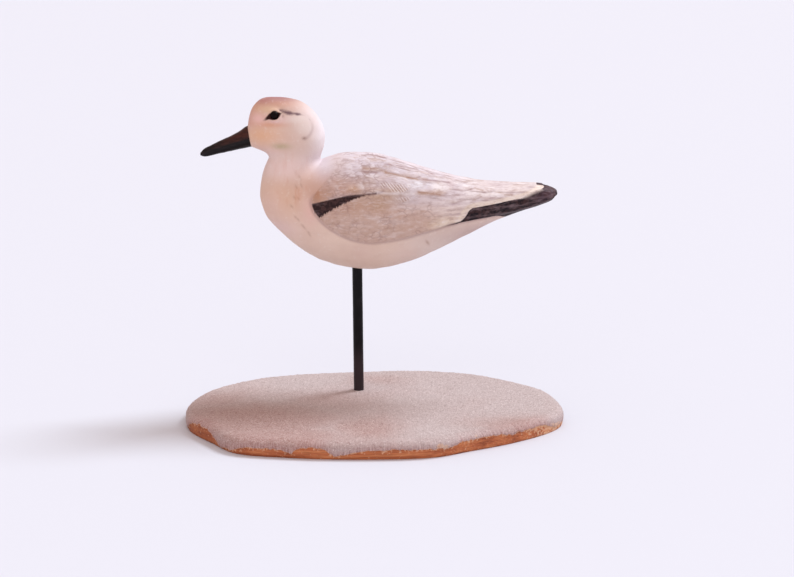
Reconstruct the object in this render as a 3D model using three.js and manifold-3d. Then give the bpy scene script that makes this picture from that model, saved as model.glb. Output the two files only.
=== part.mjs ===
// Carved shorebird on a round rod over an oval board with a crust of glued sand.
// Millimetres, +Z up. The bill points to -X, the tail to +X, and the origin is at
// the middle of the board's footprint, on the surface that the board stands on.

import * as THREE from 'three';
import { mergeVertices } from 'three/addons/utils/BufferGeometryUtils.js';
import Module from 'manifold-3d';

const wasm = await Module();
wasm.setup();

// Driving dimensions
const gap = 0.3;
const boardThickness = 9.3;
const boardInset = 1.0;
const boardUndercut = 0.5;
const boardUndercutHeight = 1.0;
const sandTop = 10.6;
const sandEdgeRadius = 2.4;
const rodDiameter = 6.35;
const rodX = -9.7;
const birdY = 34.4;
const rodInBoard = 6.5;
const rodInBelly = 12;
const bellyAtRod = 89.0;
const eyeRadius = 2.75;
const eyeSunk = 1.45;
const eyeX = -58.9;
const eyeZ = 187.8;
const billSeat = 2.6;
const boardTopBevel = 0.6;
const rodHoleRadius = rodDiameter / 2 + gap + 0.05;
const wingStep = 1.1;
const scapularStep = 0.5;
const tertialStep = 0.8;

// How far each carved step slopes to either side of its line
const wingSlope = 1.8;
const featherSlope = 1.2;

// Where the wing's step fades out into the back of the neck: forward of the back's highest
// point and up from the shoulder
const napeReach = 24;
const napeLow = 144;
const napeHigh = 158;

// How finely each shape is divided
const ribCount = 90;
const bellyPoints = 5;
const backPoints = 11;
const wingEdgeGap = 0.045;
const billSteps = 14;
const billSides = 14;
const eyeSides = 14;
const eyeRows = 9;
const rodSides = 24;
const boardPoints = 80;
const sandEdgeSteps = 3;
const holeOverrun = 5;

// Ribs of the carved body, from the tail tip round the neck to the base of the bill.
// Each is a slice across the bird: [back x, back z, belly x, belly z, half width,
// height of the widest line as a share of the slice, squareness].
const bodyRibs = [
  [115.2, 137.4, 115.1, 133.6, 4.2, 0.50, 2.2],
  [112.4, 139.2, 112.2, 130.5, 7.6, 0.52, 2.3],
  [105.0, 141.4, 104.6, 127.2, 10.6, 0.56, 2.4],
  [92.0, 142.3, 91.5, 123.1, 13.6, 0.62, 2.4],
  [79.6, 142.8, 76.2, 117.8, 16.8, 0.64, 2.4],
  [64.0, 144.4, 61.5, 110.5, 20.8, 0.64, 2.3],
  [45.0, 148.8, 42.3, 101.0, 25.4, 0.60, 2.2],
  [26.0, 154.6, 22.2, 92.7, 29.0, 0.56, 2.2],
  [6.0, 160.9, 1.0, 88.5, 31.3, 0.54, 2.2],
  [-9.0, 162.4, -17.0, 90.0, 31.4, 0.53, 2.2],
  [-19.0, 161.8, -34.1, 95.3, 30.2, 0.52, 2.2],
  [-26.0, 160.0, -48.3, 104.3, 28.0, 0.50, 2.15],
  [-29.9, 158.5, -59.0, 114.0, 25.4, 0.48, 2.1],
  [-31.0, 158.2, -66.7, 123.1, 22.6, 0.46, 2.1],
  [-31.3, 158.8, -70.5, 136.0, 19.6, 0.45, 2.05],
  [-31.3, 160.2, -69.5, 146.5, 17.6, 0.46, 2.0],
  [-30.8, 162.2, -65.2, 156.4, 16.3, 0.48, 2.0],
  [-29.2, 167.5, -63.7, 160.3, 16.4, 0.50, 2.0],
  [-28.8, 176.0, -65.4, 162.9, 16.9, 0.50, 2.0],
  [-33.2, 186.2, -67.6, 164.2, 16.8, 0.49, 2.0],
  [-43.4, 194.8, -69.6, 165.1, 15.8, 0.48, 2.05],
  [-57.0, 197.4, -71.2, 165.7, 13.8, 0.48, 2.1],
  [-66.8, 196.8, -72.3, 166.1, 11.8, 0.48, 2.1],
  [-72.4, 192.1, -73.1, 166.4, 9.6, 0.48, 2.1],
  [-75.2, 185.4, -73.6, 166.6, 7.8, 0.48, 2.1],
  [-76.2, 179.9, -73.9, 166.7, 5.9, 0.48, 2.1],
];

// Ribs of the bill, from inside its seat in the head to the tip, in the same form
const billRibs = [
  [-76.2 + billSeat, 178.8, -73.9 + billSeat, 167.4, 5.0, 0.5, 2.0],
  [-76.2, 179.8, -73.9, 166.8, 5.6, 0.5, 2.0],
  [-81.0, 176.8, -81.0, 165.3, 4.9, 0.5, 2.0],
  [-87.3, 173.4, -87.3, 164.0, 4.1, 0.5, 2.0],
  [-93.5, 170.7, -93.5, 162.7, 3.5, 0.5, 2.0],
  [-99.7, 167.7, -99.7, 161.3, 2.8, 0.5, 2.0],
  [-103.6, 165.6, -103.6, 160.8, 2.1, 0.5, 2.0],
  [-105.8, 163.3, -105.8, 161.6, 0.8, 0.5, 2.0],
];

// Lower and front edge of the folded wing, seen from the side, as [x, z]
const wingEdge = [
  [-22.3, 154.8], [-30.3, 146.4], [-35.3, 140.5], [-36.9, 135.2], [-34.2, 128.6],
  [-25.8, 120.1], [-13.6, 113.4], [-0.2, 110.8], [16.9, 112.7], [35.4, 117.0],
  [53.9, 121.3], [80.9, 124.1], [92.0, 125.6], [104.0, 129.4], [118.0, 136.0],
];

// Lower edge of the shoulder feathers where they lie over the coverts
const scapularEdge = [
  [-38.0, 135.4], [-25.5, 138.3], [-11.4, 141.7], [2.9, 142.0], [14.0, 139.8], [26.0, 135.6],
  [40.0, 133.6], [54.0, 133.4], [66.0, 133.0],
];
const scapularFadeStart = 50;
const scapularFadeEnd = 62;

// Rear edge of the long inner feathers where they lie over the black flight feathers
const tertialEdge = [
  [45.9, 116.4], [54.6, 121.3], [60.5, 129.4], [75.6, 131.5], [94.3, 134.6], [104.8, 138.9],
  [108.0, 145.0],
];
const flightFadeStart = 44;
const flightFadeEnd = 54;
const tipFadeStart = 104;
const tipFadeEnd = 112;

// The board's hand-cut outline, as [x, y]
const boardOutline = [
  [116.0, -16.0], [114.6, 9.5], [107.2, 33.5], [85.0, 59.5], [61.0, 77.5], [24.0, 86.6],
  [-14.0, 84.8], [-52.0, 79.6], [-80.0, 67.5], [-104.6, 42.0], [-116.1, 8.0],
  [-114.0, -20.0], [-98.6, -48.0], [-82.0, -71.6], [-52.0, -81.4], [-14.0, -86.7],
  [35.0, -84.4], [58.0, -71.6], [83.2, -55.8], [107.4, -33.4],
];

// Stretches of the board's edge that the sand leaves bare: [x, y, reach, height]
const bareStretches = [
  [-104.0, -36.0, 20.0, 7.6],
  [-68.0, -76.5, 14.0, 3.8],
  [-37.0, -83.0, 12.5, 7.0],
  [18.0, -85.5, 36.0, 4.8],
  [66.0, -64.0, 26.0, 7.4],
  [93.0, -46.0, 24.0, 6.4],
  [113.0, -18.0, 14.0, 3.4],
  [20.0, 86.0, 40.0, 3.0],
  [-98.0, 46.0, 24.0, 3.6],
];
const bareEverywhere = 1.5;

// Smooth curve through rows of numbers, each placed at its distance along the row
function rowAt(rows, places, place) {
  let index = 0;
  while (index < rows.length - 2 && places[index + 1] < place) {
    index += 1;
  }
  const span = places[index + 1] - places[index];
  const t = (place - places[index]) / span;
  const slope = (i, column) => {
    const before = Math.max(i - 1, 0);
    const after = Math.min(i + 1, rows.length - 1);
    return (rows[after][column] - rows[before][column]) / (places[after] - places[before]);
  };
  return rows[index].map((start, column) => {
    const end = rows[index + 1][column];
    const startWeight = (1 + 2 * t) * (1 - t) ** 2;
    const endWeight = t * t * (3 - 2 * t);
    const startSlope = t * (1 - t) ** 2 * span * slope(index, column);
    const endSlope = t * t * (t - 1) * span * slope(index + 1, column);
    return start * startWeight + end * endWeight + startSlope + endSlope;
  });
}

// Distance along the ribs, the mean of what their two ends travel
function ribPlaces(ribs) {
  const places = [0];
  for (let i = 1; i < ribs.length; i += 1) {
    const [backX, backZ, bellyX, bellyZ] = ribs[i];
    const [lastBackX, lastBackZ, lastBellyX, lastBellyZ] = ribs[i - 1];
    const back = Math.hypot(backX - lastBackX, backZ - lastBackZ);
    const belly = Math.hypot(bellyX - lastBellyX, bellyZ - lastBellyZ);
    places.push(places[i - 1] + (back + belly) / 2);
  }
  return places;
}

// Point of a rib at an angle from -90 degrees at the belly to 90 degrees at the back
function ribPoint(rib, angle, side) {
  const [backX, backZ, bellyX, bellyZ, halfWidth, level, squareness] = rib;
  const power = 2 / squareness;
  const rise = Math.sign(Math.sin(angle)) * Math.abs(Math.sin(angle)) ** power;
  const share = level + rise * (rise > 0 ? 1 - level : level);
  const y = side * halfWidth * Math.abs(Math.cos(angle)) ** power;
  return new THREE.Vector3(
    bellyX + (backX - bellyX) * share,
    birdY + y,
    bellyZ + (backZ - bellyZ) * share,
  );
}

// Closed skin over rings of points, with a fan over each end
function skin(rings) {
  const ringSize = rings[0].length;
  const positions = [];
  rings.flat().forEach((point) => positions.push(point.x, point.y, point.z));
  const ends = [rings[0], rings[rings.length - 1]];
  ends.forEach((ring) => {
    const middle = new THREE.Vector3();
    ring.forEach((point) => middle.add(point));
    middle.divideScalar(ringSize);
    positions.push(middle.x, middle.y, middle.z);
  });
  const firstEnd = rings.length * ringSize;
  const triangles = [];
  for (let i = 0; i < ringSize; i += 1) {
    const next = (i + 1) % ringSize;
    for (let ring = 0; ring < rings.length - 1; ring += 1) {
      const a = ring * ringSize + i;
      const b = ring * ringSize + next;
      triangles.push(a, b, a + ringSize, b, b + ringSize, a + ringSize);
    }
    const last = (rings.length - 1) * ringSize;
    triangles.push(firstEnd, next, i, firstEnd + 1, last + i, last + next);
  }
  const geometry = new THREE.BufferGeometry();
  geometry.setAttribute('position', new THREE.Float32BufferAttribute(positions, 3));
  geometry.setIndex(triangles);
  return geometry;
}

// Solid for joining and cutting, made from a closed geometry
function solid(geometry) {
  const bare = geometry.clone();
  bare.deleteAttribute('normal');
  bare.deleteAttribute('uv');
  const samePoint = 1e-4;
  const merged = mergeVertices(bare, samePoint);
  return new wasm.Manifold(new wasm.Mesh({
    numProp: 3,
    vertProperties: new Float32Array(merged.attributes.position.array),
    triVerts: new Uint32Array(merged.index.array),
  }));
}

// Geometry back from a solid
function geometryOf(body) {
  const mesh = body.getMesh();
  const geometry = new THREE.BufferGeometry();
  geometry.setAttribute('position', new THREE.Float32BufferAttribute(mesh.vertProperties, 3));
  geometry.setIndex(Array.from(mesh.triVerts));
  return geometry;
}

// Upright round bar between two heights
function uprightBar(radius, low, high) {
  const bar = new THREE.CylinderGeometry(radius, radius, high - low, rodSides);
  bar.rotateX(Math.PI / 2);
  bar.translate(rodX, birdY, (low + high) / 2);
  return bar;
}

// Signed distance from a point to an open line in the side view, positive above it
function heightOver(line, x, z) {
  let nearest = Infinity;
  let sign = 1;
  for (let i = 0; i < line.length - 1; i += 1) {
    const [startX, startZ] = line[i];
    const [endX, endZ] = line[i + 1];
    const runX = endX - startX;
    const runZ = endZ - startZ;
    const along = ((x - startX) * runX + (z - startZ) * runZ) / (runX ** 2 + runZ ** 2);
    const t = THREE.MathUtils.clamp(along, 0, 1);
    const offX = x - startX - runX * t;
    const offZ = z - startZ - runZ * t;
    const distance = Math.hypot(offX, offZ);
    if (distance < nearest) {
      nearest = distance;
      sign = runX * offZ - runZ * offX >= 0 ? 1 : -1;
    }
  }
  return nearest * sign;
}

// Line with extra points on a smooth curve through the given ones
function smoothLine(points, count) {
  const curve = new THREE.SplineCurve(points.map(([x, z]) => new THREE.Vector2(x, z)));
  return curve.getPoints(count).map((point) => [point.x, point.y]);
}

const { smoothstep } = THREE.MathUtils;
const wingLine = smoothLine(wingEdge, 60);
const scapularLine = smoothLine(scapularEdge, 32);
const tertialLine = smoothLine(tertialEdge, 24);

// How far the carving stands out from the smooth body at a place in the side view
function relief(x, z) {
  const wing = smoothstep(heightOver(wingLine, x, z), -wingSlope, wingSlope);
  const nape = smoothstep(z, napeLow, napeHigh) * smoothstep(-x, 0, napeReach);
  const under = (line) => smoothstep(heightOver(line, x, z), -featherSlope, featherSlope) - 1;
  const beforeTertials = 1 - smoothstep(x, scapularFadeStart, scapularFadeEnd);
  const beforeTip = 1 - smoothstep(x, tipFadeStart, tipFadeEnd);
  const flight = smoothstep(x, flightFadeStart, flightFadeEnd) * beforeTip;
  const underScapulars = scapularStep * under(scapularLine) * beforeTertials;
  const underTertials = tertialStep * under(tertialLine) * flight;
  return wingStep * (wing - 1) * (1 - nape) + (underScapulars + underTertials) * wing;
}

// Angle at which a rib crosses the lower edge of the wing
function wingAngle(rib) {
  const lowest = -0.95;
  const highest = 0.1;
  const step = 0.02;
  for (let angle = lowest; angle < highest; angle += step) {
    const point = ribPoint(rib, angle, 1);
    if (heightOver(wingLine, point.x, point.z) > 0) {
      return angle;
    }
  }
  return highest;
}

// The same angles, evened out so that neighbouring ribs stay alike
function evenAngles(ribs) {
  const reach = 3;
  const angles = ribs.map(wingAngle);
  return angles.map((_, i) => {
    const near = angles.slice(Math.max(i - reach, 0), i + reach + 1);
    return near.reduce((sum, angle) => sum + angle, 0) / near.length;
  });
}

// Angles of a half ring from belly to back, with two close rows at the wing's edge
function ringAngles(edge) {
  const angles = [];
  const quarter = Math.PI / 2;
  const under = edge - wingEdgeGap;
  const above = edge + wingEdgeGap;
  for (let i = 0; i <= bellyPoints; i += 1) {
    angles.push(-quarter + (under + quarter) * (i / bellyPoints));
  }
  for (let i = 0; i <= backPoints; i += 1) {
    angles.push(above + (quarter - above) * (i / backPoints));
  }
  return angles;
}

function carvedBody() {
  const places = ribPlaces(bodyRibs);
  const length = places[places.length - 1];
  const ribs = [];
  for (let i = 0; i < ribCount; i += 1) {
    ribs.push(rowAt(bodyRibs, places, (length * i) / (ribCount - 1)));
  }
  const edges = evenAngles(ribs);
  const rings = ribs.map((rib, i) => {
    const angles = ringAngles(edges[i]);
    const near = angles.map((angle) => ribPoint(rib, angle, -1));
    const far = angles.slice(1, -1).reverse().map((angle) => ribPoint(rib, angle, 1));
    return [...near, ...far];
  });
  const geometry = skin(rings);
  geometry.computeVertexNormals();
  const { position, normal } = geometry.attributes;
  for (let i = 0; i < position.count; i += 1) {
    const raised = relief(position.getX(i), position.getZ(i));
    position.setXYZ(
      i,
      position.getX(i) + normal.getX(i) * raised,
      position.getY(i) + normal.getY(i) * raised,
      position.getZ(i) + normal.getZ(i) * raised,
    );
  }
  return geometry;
}

// Bill, or with an allowance the seat cut for it in the head
function billShape(allowance) {
  const ribs = billRibs.map(([backX, backZ, bellyX, bellyZ, halfWidth, ...rest]) => {
    return [backX, backZ + allowance, bellyX, bellyZ - allowance, halfWidth + allowance, ...rest];
  });
  const seated = ribs[0];
  seated[0] += allowance;
  seated[2] += allowance;
  const places = ribPlaces(ribs);
  const length = places[places.length - 1];
  const rings = [];
  for (let i = 0; i <= billSteps; i += 1) {
    const rib = rowAt(ribs, places, (length * i) / billSteps);
    const ring = [];
    for (let k = 0; k < billSides; k += 1) {
      const angle = -Math.PI / 2 + (2 * Math.PI * k) / billSides;
      const side = k <= billSides / 2 ? -1 : 1;
      const folded = k <= billSides / 2 ? angle : Math.PI - angle;
      ring.push(ribPoint(rib, folded, side));
    }
    rings.push(ring);
  }
  return skin(rings);
}

// Place on the near side of the head that lies at a point of the side view
function headSurface(x, z) {
  const places = ribPlaces(bodyRibs);
  const length = places[places.length - 1];
  const headStart = length * 0.7;
  const placeStep = 0.5;
  const angleStep = 0.02;
  let best = null;
  let nearest = Infinity;
  for (let place = headStart; place < length; place += placeStep) {
    const rib = rowAt(bodyRibs, places, place);
    for (let angle = -Math.PI / 2; angle < Math.PI / 2; angle += angleStep) {
      const point = ribPoint(rib, angle, -1);
      const distance = Math.hypot(point.x - x, point.z - z);
      if (distance < nearest) {
        nearest = distance;
        best = point;
      }
    }
  }
  return best;
}

function eyeBall(side, radius) {
  const surface = headSurface(eyeX, eyeZ);
  const depth = birdY - surface.y - eyeSunk;
  const ball = new THREE.SphereGeometry(radius, eyeSides, eyeRows);
  ball.translate(eyeX, birdY + side * depth, eyeZ);
  return ball;
}

function rodShape() {
  return uprightBar(rodDiameter / 2, boardThickness - rodInBoard, bellyAtRod + rodInBelly);
}

// Outline of the board moved inwards by a distance, as evenly spread points
function boardRing(inset, z) {
  const corners = boardOutline.map(([x, y]) => new THREE.Vector3(x, y, 0));
  const curve = new THREE.CatmullRomCurve3(corners, true);
  const points = curve.getSpacedPoints(boardPoints).slice(0, boardPoints);
  const middle = new THREE.Box3().setFromPoints(points).getCenter(new THREE.Vector3());
  return points.map((point, i) => {
    const next = points[(i + 1) % boardPoints];
    const last = points[(i + boardPoints - 1) % boardPoints];
    const along = next.clone().sub(last).normalize();
    const x = point.x - middle.x - along.y * inset;
    const y = point.y - middle.y + along.x * inset;
    return new THREE.Vector3(x, y, z);
  });
}

// Height of bare wood left under the sand at a place on the edge
function bareHeight(x, y) {
  const humps = bareStretches.map(([atX, atY, reach, height]) => {
    const distance = Math.hypot(x - atX, y - atY) / reach;
    return height * Math.exp(-(distance ** 4));
  });
  return Math.max(bareEverywhere, ...humps);
}

function boardShape() {
  const rings = [
    boardRing(boardInset + boardUndercut, 0),
    boardRing(boardInset, boardUndercutHeight),
    boardRing(boardInset, boardThickness - boardTopBevel),
    boardRing(boardInset + boardTopBevel, boardThickness),
  ];
  const holeFloor = boardThickness - rodInBoard - gap;
  const hole = uprightBar(rodHoleRadius, holeFloor, boardThickness + holeOverrun);
  return geometryOf(solid(skin(rings)).subtract(solid(hole)));
}

// Sand crust: up inside round the board, out under its ragged edge and over the top
function sandShape() {
  const ragged = (inset) => {
    const ring = boardRing(inset, 0);
    ring.forEach((point) => {
      point.z = bareHeight(point.x, point.y);
    });
    return ring;
  };
  const inside = boardInset - gap;
  const rings = [boardRing(inside, boardThickness + gap), ragged(inside), ragged(0)];
  for (let i = 0; i <= sandEdgeSteps; i += 1) {
    const angle = (i / sandEdgeSteps) * (Math.PI / 2);
    const inset = sandEdgeRadius * (1 - Math.cos(angle));
    rings.push(boardRing(inset, sandTop - sandEdgeRadius * (1 - Math.sin(angle))));
  }
  const hole = uprightBar(rodHoleRadius, 0, sandTop + holeOverrun);
  return geometryOf(solid(skin(rings)).subtract(solid(hole)));
}

function bodyShape() {
  const holeTop = bellyAtRod + rodInBelly + gap;
  const rodHole = uprightBar(rodHoleRadius, bellyAtRod - holeOverrun, holeTop);
  return geometryOf(
    solid(carvedBody())
      .subtract(solid(rodHole))
      .subtract(solid(billShape(gap)))
      .subtract(solid(eyeBall(-1, eyeRadius + gap)))
      .subtract(solid(eyeBall(1, eyeRadius + gap))),
  );
}

const feathers = new THREE.MeshStandardMaterial({ color: 0xd9cdc6, roughness: 0.7, metalness: 0 });
const bill = new THREE.MeshStandardMaterial({ color: 0x1c1416, roughness: 0.35, metalness: 0 });
const glass = new THREE.MeshStandardMaterial({ color: 0x120c0e, roughness: 0.1, metalness: 0 });
const blackRod = new THREE.MeshStandardMaterial({ color: 0x161518, roughness: 0.4, metalness: 0.2 });
const wood = new THREE.MeshStandardMaterial({ color: 0xa8683c, roughness: 0.6, metalness: 0 });
const sand = new THREE.MeshStandardMaterial({ color: 0xc9b8ac, roughness: 0.95, metalness: 0 });

const figure = new THREE.Group();

function add(name, geometry, material) {
  const mesh = new THREE.Mesh(geometry, material);
  mesh.name = name;
  figure.add(mesh);
}

add('bird_body', bodyShape(), feathers);
add('bill', billShape(0), bill);
add('eye_left', eyeBall(-1, eyeRadius), glass);
add('eye_right', eyeBall(1, eyeRadius), glass);
add('support_rod', rodShape(), blackRod);
add('base_board', boardShape(), wood);
add('sand_layer', sandShape(), sand);

export default figure;
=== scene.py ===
import math

import bpy
from mathutils import Matrix, Vector
import numpy as np


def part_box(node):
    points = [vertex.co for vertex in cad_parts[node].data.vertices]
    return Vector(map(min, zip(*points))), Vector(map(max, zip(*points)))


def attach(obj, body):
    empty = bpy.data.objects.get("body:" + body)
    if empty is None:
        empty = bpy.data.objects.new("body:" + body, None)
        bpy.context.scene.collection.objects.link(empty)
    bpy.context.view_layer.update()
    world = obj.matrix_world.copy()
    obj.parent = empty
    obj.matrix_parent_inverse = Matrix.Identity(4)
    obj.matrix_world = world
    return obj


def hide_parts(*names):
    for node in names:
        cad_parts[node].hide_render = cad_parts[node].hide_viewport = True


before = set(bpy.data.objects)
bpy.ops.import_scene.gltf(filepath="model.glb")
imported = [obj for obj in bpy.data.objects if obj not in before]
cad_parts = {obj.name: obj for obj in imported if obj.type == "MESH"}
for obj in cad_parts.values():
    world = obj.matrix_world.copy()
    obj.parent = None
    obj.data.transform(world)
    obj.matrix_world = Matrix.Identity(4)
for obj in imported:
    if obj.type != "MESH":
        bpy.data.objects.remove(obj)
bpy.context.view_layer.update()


# Base board. A flat piece of wood about 9 mm thick, sawn by eye to an oval and stained
# orange-brown. It lies on its underside, and its bare edge shows in stretches under the
# sand: each is a place, its reach along the edge and its height, all in millimetres.
MM = 0.001
board_thickness = 9.3
board_inset = 1.0
board_undercut = 0.5
board_undercut_height = 1.0
board_points = 900
board_rows = 14
board_wall_stops_below = 2.2
board_rounding = ((0.3, 1.2), (0.8, 0.5), (1.8, 0.1), (3.2, 0.0))
bare_everywhere = 1.5
bare_lowest = 0.5
bare_highest = 9.4
bare_stretches = [
    (-104.0, -36.0, 20.0, 7.8), (-66.0, -77.0, 20.0, 5.2), (-37.0, -83.0, 12.5, 7.0),
    (16.0, -85.5, 39.0, 5.6), (64.0, -66.0, 29.0, 7.4), (93.0, -46.0, 24.0, 6.4),
    (113.0, -18.0, 14.0, 3.4), (20.0, 86.0, 40.0, 3.0), (-98.0, 46.0, 24.0, 3.6),
]
board_outline = [
    (116.0, -16.0), (114.6, 9.5), (107.2, 33.5), (85.0, 59.5), (61.0, 77.5),
    (24.0, 86.6), (-14.0, 84.8), (-52.0, 79.6), (-80.0, 67.5), (-104.6, 42.0),
    (-116.1, 8.0), (-114.0, -20.0), (-98.6, -48.0), (-82.0, -71.6), (-52.0, -81.4),
    (-14.0, -86.7), (35.0, -84.4), (58.0, -71.6), (83.2, -55.8), (107.4, -33.4),
]


def smoothstep(value, low, high):
    """0 up to low and 1 from high on, with a smooth rise between; low may be the larger."""
    t = np.clip((value - low) / (high - low), 0.0, 1.0)
    return t * t * (3.0 - 2.0 * t)


def closed_outline(corners, count):
    """Evenly spread points on a centripetal curve through the corners, and the way out."""
    corners = np.array(corners, float)
    dense = []
    steps = np.linspace(0.0, 1.0, 60, endpoint=False)[:, None]
    for i in range(len(corners)):
        p0, p1, p2, p3 = (corners[(i + k) % len(corners)] for k in (-1, 0, 1, 2))
        d0, d1, d2 = (math.sqrt(math.dist(a, b)) for a, b in ((p0, p1), (p1, p2), (p2, p3)))
        out = ((p1 - p0) / d0 - (p2 - p0) / (d0 + d1) + (p2 - p1) / d1) * d1
        into = ((p2 - p1) / d1 - (p3 - p1) / (d1 + d2) + (p3 - p2) / d2) * d1
        bend = 2.0 * p1 - 2.0 * p2 + out + into
        rise = -3.0 * p1 + 3.0 * p2 - 2.0 * out - into
        dense.append(((bend * steps + rise) * steps + out) * steps + p1)
    dense = np.concatenate(dense)
    loop = np.vstack([dense, dense[:1]])
    travel = np.concatenate([[0.0], np.cumsum(np.linalg.norm(np.diff(loop, axis=0), axis=1))])
    wanted = np.linspace(0.0, travel[-1], count, endpoint=False)
    points = np.column_stack([np.interp(wanted, travel, loop[:, k]) for k in (0, 1)])
    points -= (points.max(0) + points.min(0)) / 2.0
    along = np.roll(points, -1, axis=0) - np.roll(points, 1, axis=0)
    along /= np.linalg.norm(along, axis=1)[:, None]
    return points, np.column_stack([along[:, 1], -along[:, 0]])


def waves(seed, count, shortest, longest):
    """A sum of sine waves that runs smoothly over space: a function of points, about -1 to 1."""
    rng = np.random.default_rng(seed)
    ways = rng.normal(size=(count, 3))
    ways /= np.linalg.norm(ways, axis=1)[:, None]
    lengths = np.exp(rng.uniform(math.log(shortest), math.log(longest), count))
    starts = rng.uniform(0.0, 2.0 * math.pi, count)

    def wave(points):
        turns = points @ (ways / lengths[:, None]).T * 2.0 * math.pi + starts
        return np.sin(turns).sum(-1) / math.sqrt(count) * 0.9

    return wave


def skin_mesh(name, rings):
    """A closed mesh over rings of points in millimetres, each ring running the same way round."""
    rings = np.asarray(rings, float)
    count, size = rings.shape[:2]
    points = rings.reshape(-1, 3)
    here = np.arange(size)
    after = (here + 1) % size
    starts = (np.arange(count - 1) * size)[:, None]
    quads = np.stack([starts + here, starts + after, starts + size + after, starts + size + here], -1)
    faces = quads.reshape(-1, 4).tolist()
    for ring, first, second in ((0, after, here), (count - 1, here, after)):
        cap = [first + ring * size, second + ring * size, np.full(size, len(points))]
        faces += np.stack(cap, -1).tolist()
        points = np.vstack([points, rings[ring].mean(0)])
    mesh = bpy.data.meshes.new(name)
    mesh.from_pydata((points * MM).tolist(), [], faces)
    mesh.shade_smooth()
    return mesh


def put_in_place(name, mesh, material, node):
    """Adds a finished piece, which stands for a node of the frame and goes with the root body."""
    piece = bpy.data.objects.new(name, mesh)
    bpy.context.scene.collection.objects.link(piece)
    mesh.materials.clear()
    mesh.materials.append(material)
    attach(piece, "root")
    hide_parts(node)


def colour(red, green, blue):
    """A colour named by its red, green and blue as seen on a screen, 0 to 255."""
    shares = (red / 255.0, green / 255.0, blue / 255.0)
    return tuple(((c + 0.055) / 1.055) ** 2.4 if c > 0.04 else c / 12.92 for c in shares) + (1.0,)


class Finish:
    """A node material, with the few ways of adding nodes that the pieces below use."""

    def __init__(self, name):
        self.material = bpy.data.materials.new(name)
        self.material.use_nodes = True
        self.tree = self.material.node_tree
        self.shader = self.tree.nodes["Principled BSDF"]
        self.place = self.node("TexCoord").outputs["Object"]

    def put(self, socket, value):
        if isinstance(value, bpy.types.NodeSocket):
            self.tree.links.new(value, socket)
        else:
            socket.default_value = value

    def node(self, kind, inputs=None, **settings):
        made = self.tree.nodes.new("ShaderNode" + kind)
        for key, value in settings.items():
            setattr(made, key, value)
        for key, value in (inputs or {}).items():
            self.put(made.inputs[key], value)
        return made

    def set(self, **values):
        for key, value in values.items():
            self.put(self.shader.inputs[key.replace("_", " ")], value)

    def attribute(self, name, output="Fac"):
        return self.node("Attribute", attribute_name=name).outputs[output]

    def stretched(self, *scale):
        """The place on the piece, scaled by its own factor along each axis."""
        return self.node("Mapping", {"Vector": self.place, "Scale": scale}).outputs[0]

    def noise(self, scale, detail, roughness=0.5, place=None):
        sizes = {"Vector": place or self.place, "Scale": scale, "Detail": detail,
                 "Roughness": roughness}
        return self.node("TexNoise", sizes).outputs[0]

    def streaks(self, scale, detail, roughness):
        """Noise drawn out by its own factor along each axis."""
        return self.noise(1.0, detail, roughness, self.stretched(*scale))

    def maths(self, operation, *values):
        made = self.node("Math", operation=operation)
        for socket, value in zip(made.inputs, values):
            self.put(socket, value)
        return made.outputs[0]

    def spread(self, value, low, high, to_low=0.0, to_high=1.0):
        """Carries a value smoothly from one range over to another, and no further."""
        limits = {"Value": value, "From Min": low, "From Max": high, "To Min": to_low,
                  "To Max": to_high}
        return self.node("MapRange", limits, interpolation_type="SMOOTHSTEP").outputs[0]

    def times(self, first, second):
        return self.maths("MULTIPLY", first, second)

    def plus(self, first, second):
        return self.maths("ADD", first, second)

    def mix(self, share, first, second):
        made = self.node("Mix", data_type="RGBA")
        for index, value in ((0, share), (6, first), (7, second)):
            self.put(made.inputs[index], value)
        return made.outputs[2]

    def glaze(self, coat, tint, pattern, low, high, most, where=None):
        """A coat with a tint laid over it where a pattern runs from low to high."""
        share = self.spread(pattern, low, high, 0.0, most)
        if where:
            share = self.times(share, where)
        return self.mix(share, coat, tint)

    def ramp(self, value, *stops):
        made = self.node("ValToRGB", {"Fac": value})
        steps = made.color_ramp.elements
        while len(steps) < len(stops):
            steps.new(0.5)
        for step, (position, tint) in zip(steps, stops):
            step.position = position
            step.color = tint
        return made.outputs[0]

    def bump(self, height, depth, under=None):
        made = self.node("Bump", {"Height": height, "Strength": 1.0, "Distance": depth})
        if under:
            self.put(made.inputs["Normal"], under)
        return made.outputs[0]


outline, outward = closed_outline(board_outline, board_points)
around = np.arange(board_points) * np.linalg.norm(outline[1] - outline[0])

# The height up to which the edge is bare, all the way round, with teeth of two sizes
bare = np.full(board_points, bare_everywhere)
for x, y, reach, height in bare_stretches:
    away = np.hypot(outline[:, 0] - x, outline[:, 1] - y) / reach
    bare = np.maximum(bare, height * np.exp(-away**4))
outline_flat = np.column_stack([outline, np.zeros(board_points)])
large_teeth = waves(24, 30, 3.0, 12.0)
small_teeth = waves(25, 40, 1.3, 2.6)
bare += 0.45 * large_teeth(outline_flat) + 0.3 * small_teeth(outline_flat)
bare = np.clip(bare, bare_lowest, bare_highest)


def board_ring(inset, height):
    """A ring round the board, set in from its outline, at a height."""
    inset = np.broadcast_to(inset, board_points)
    height = np.broadcast_to(height, board_points)
    return np.column_stack([outline - outward * inset[:, None], height])


def note(mesh, **noted):
    """Keeps numbers for each vertex of the rings, and the mean of a ring for an end cap."""
    for name, values in noted.items():
        kept = np.zeros(len(mesh.vertices), np.float32)
        kept[:values.size] = values.ravel()
        kept[values.size:] = values[0].mean(), values[-1].mean()
        mesh.attributes.new(name, "FLOAT", "POINT").data.foreach_set("value", kept)


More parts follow.
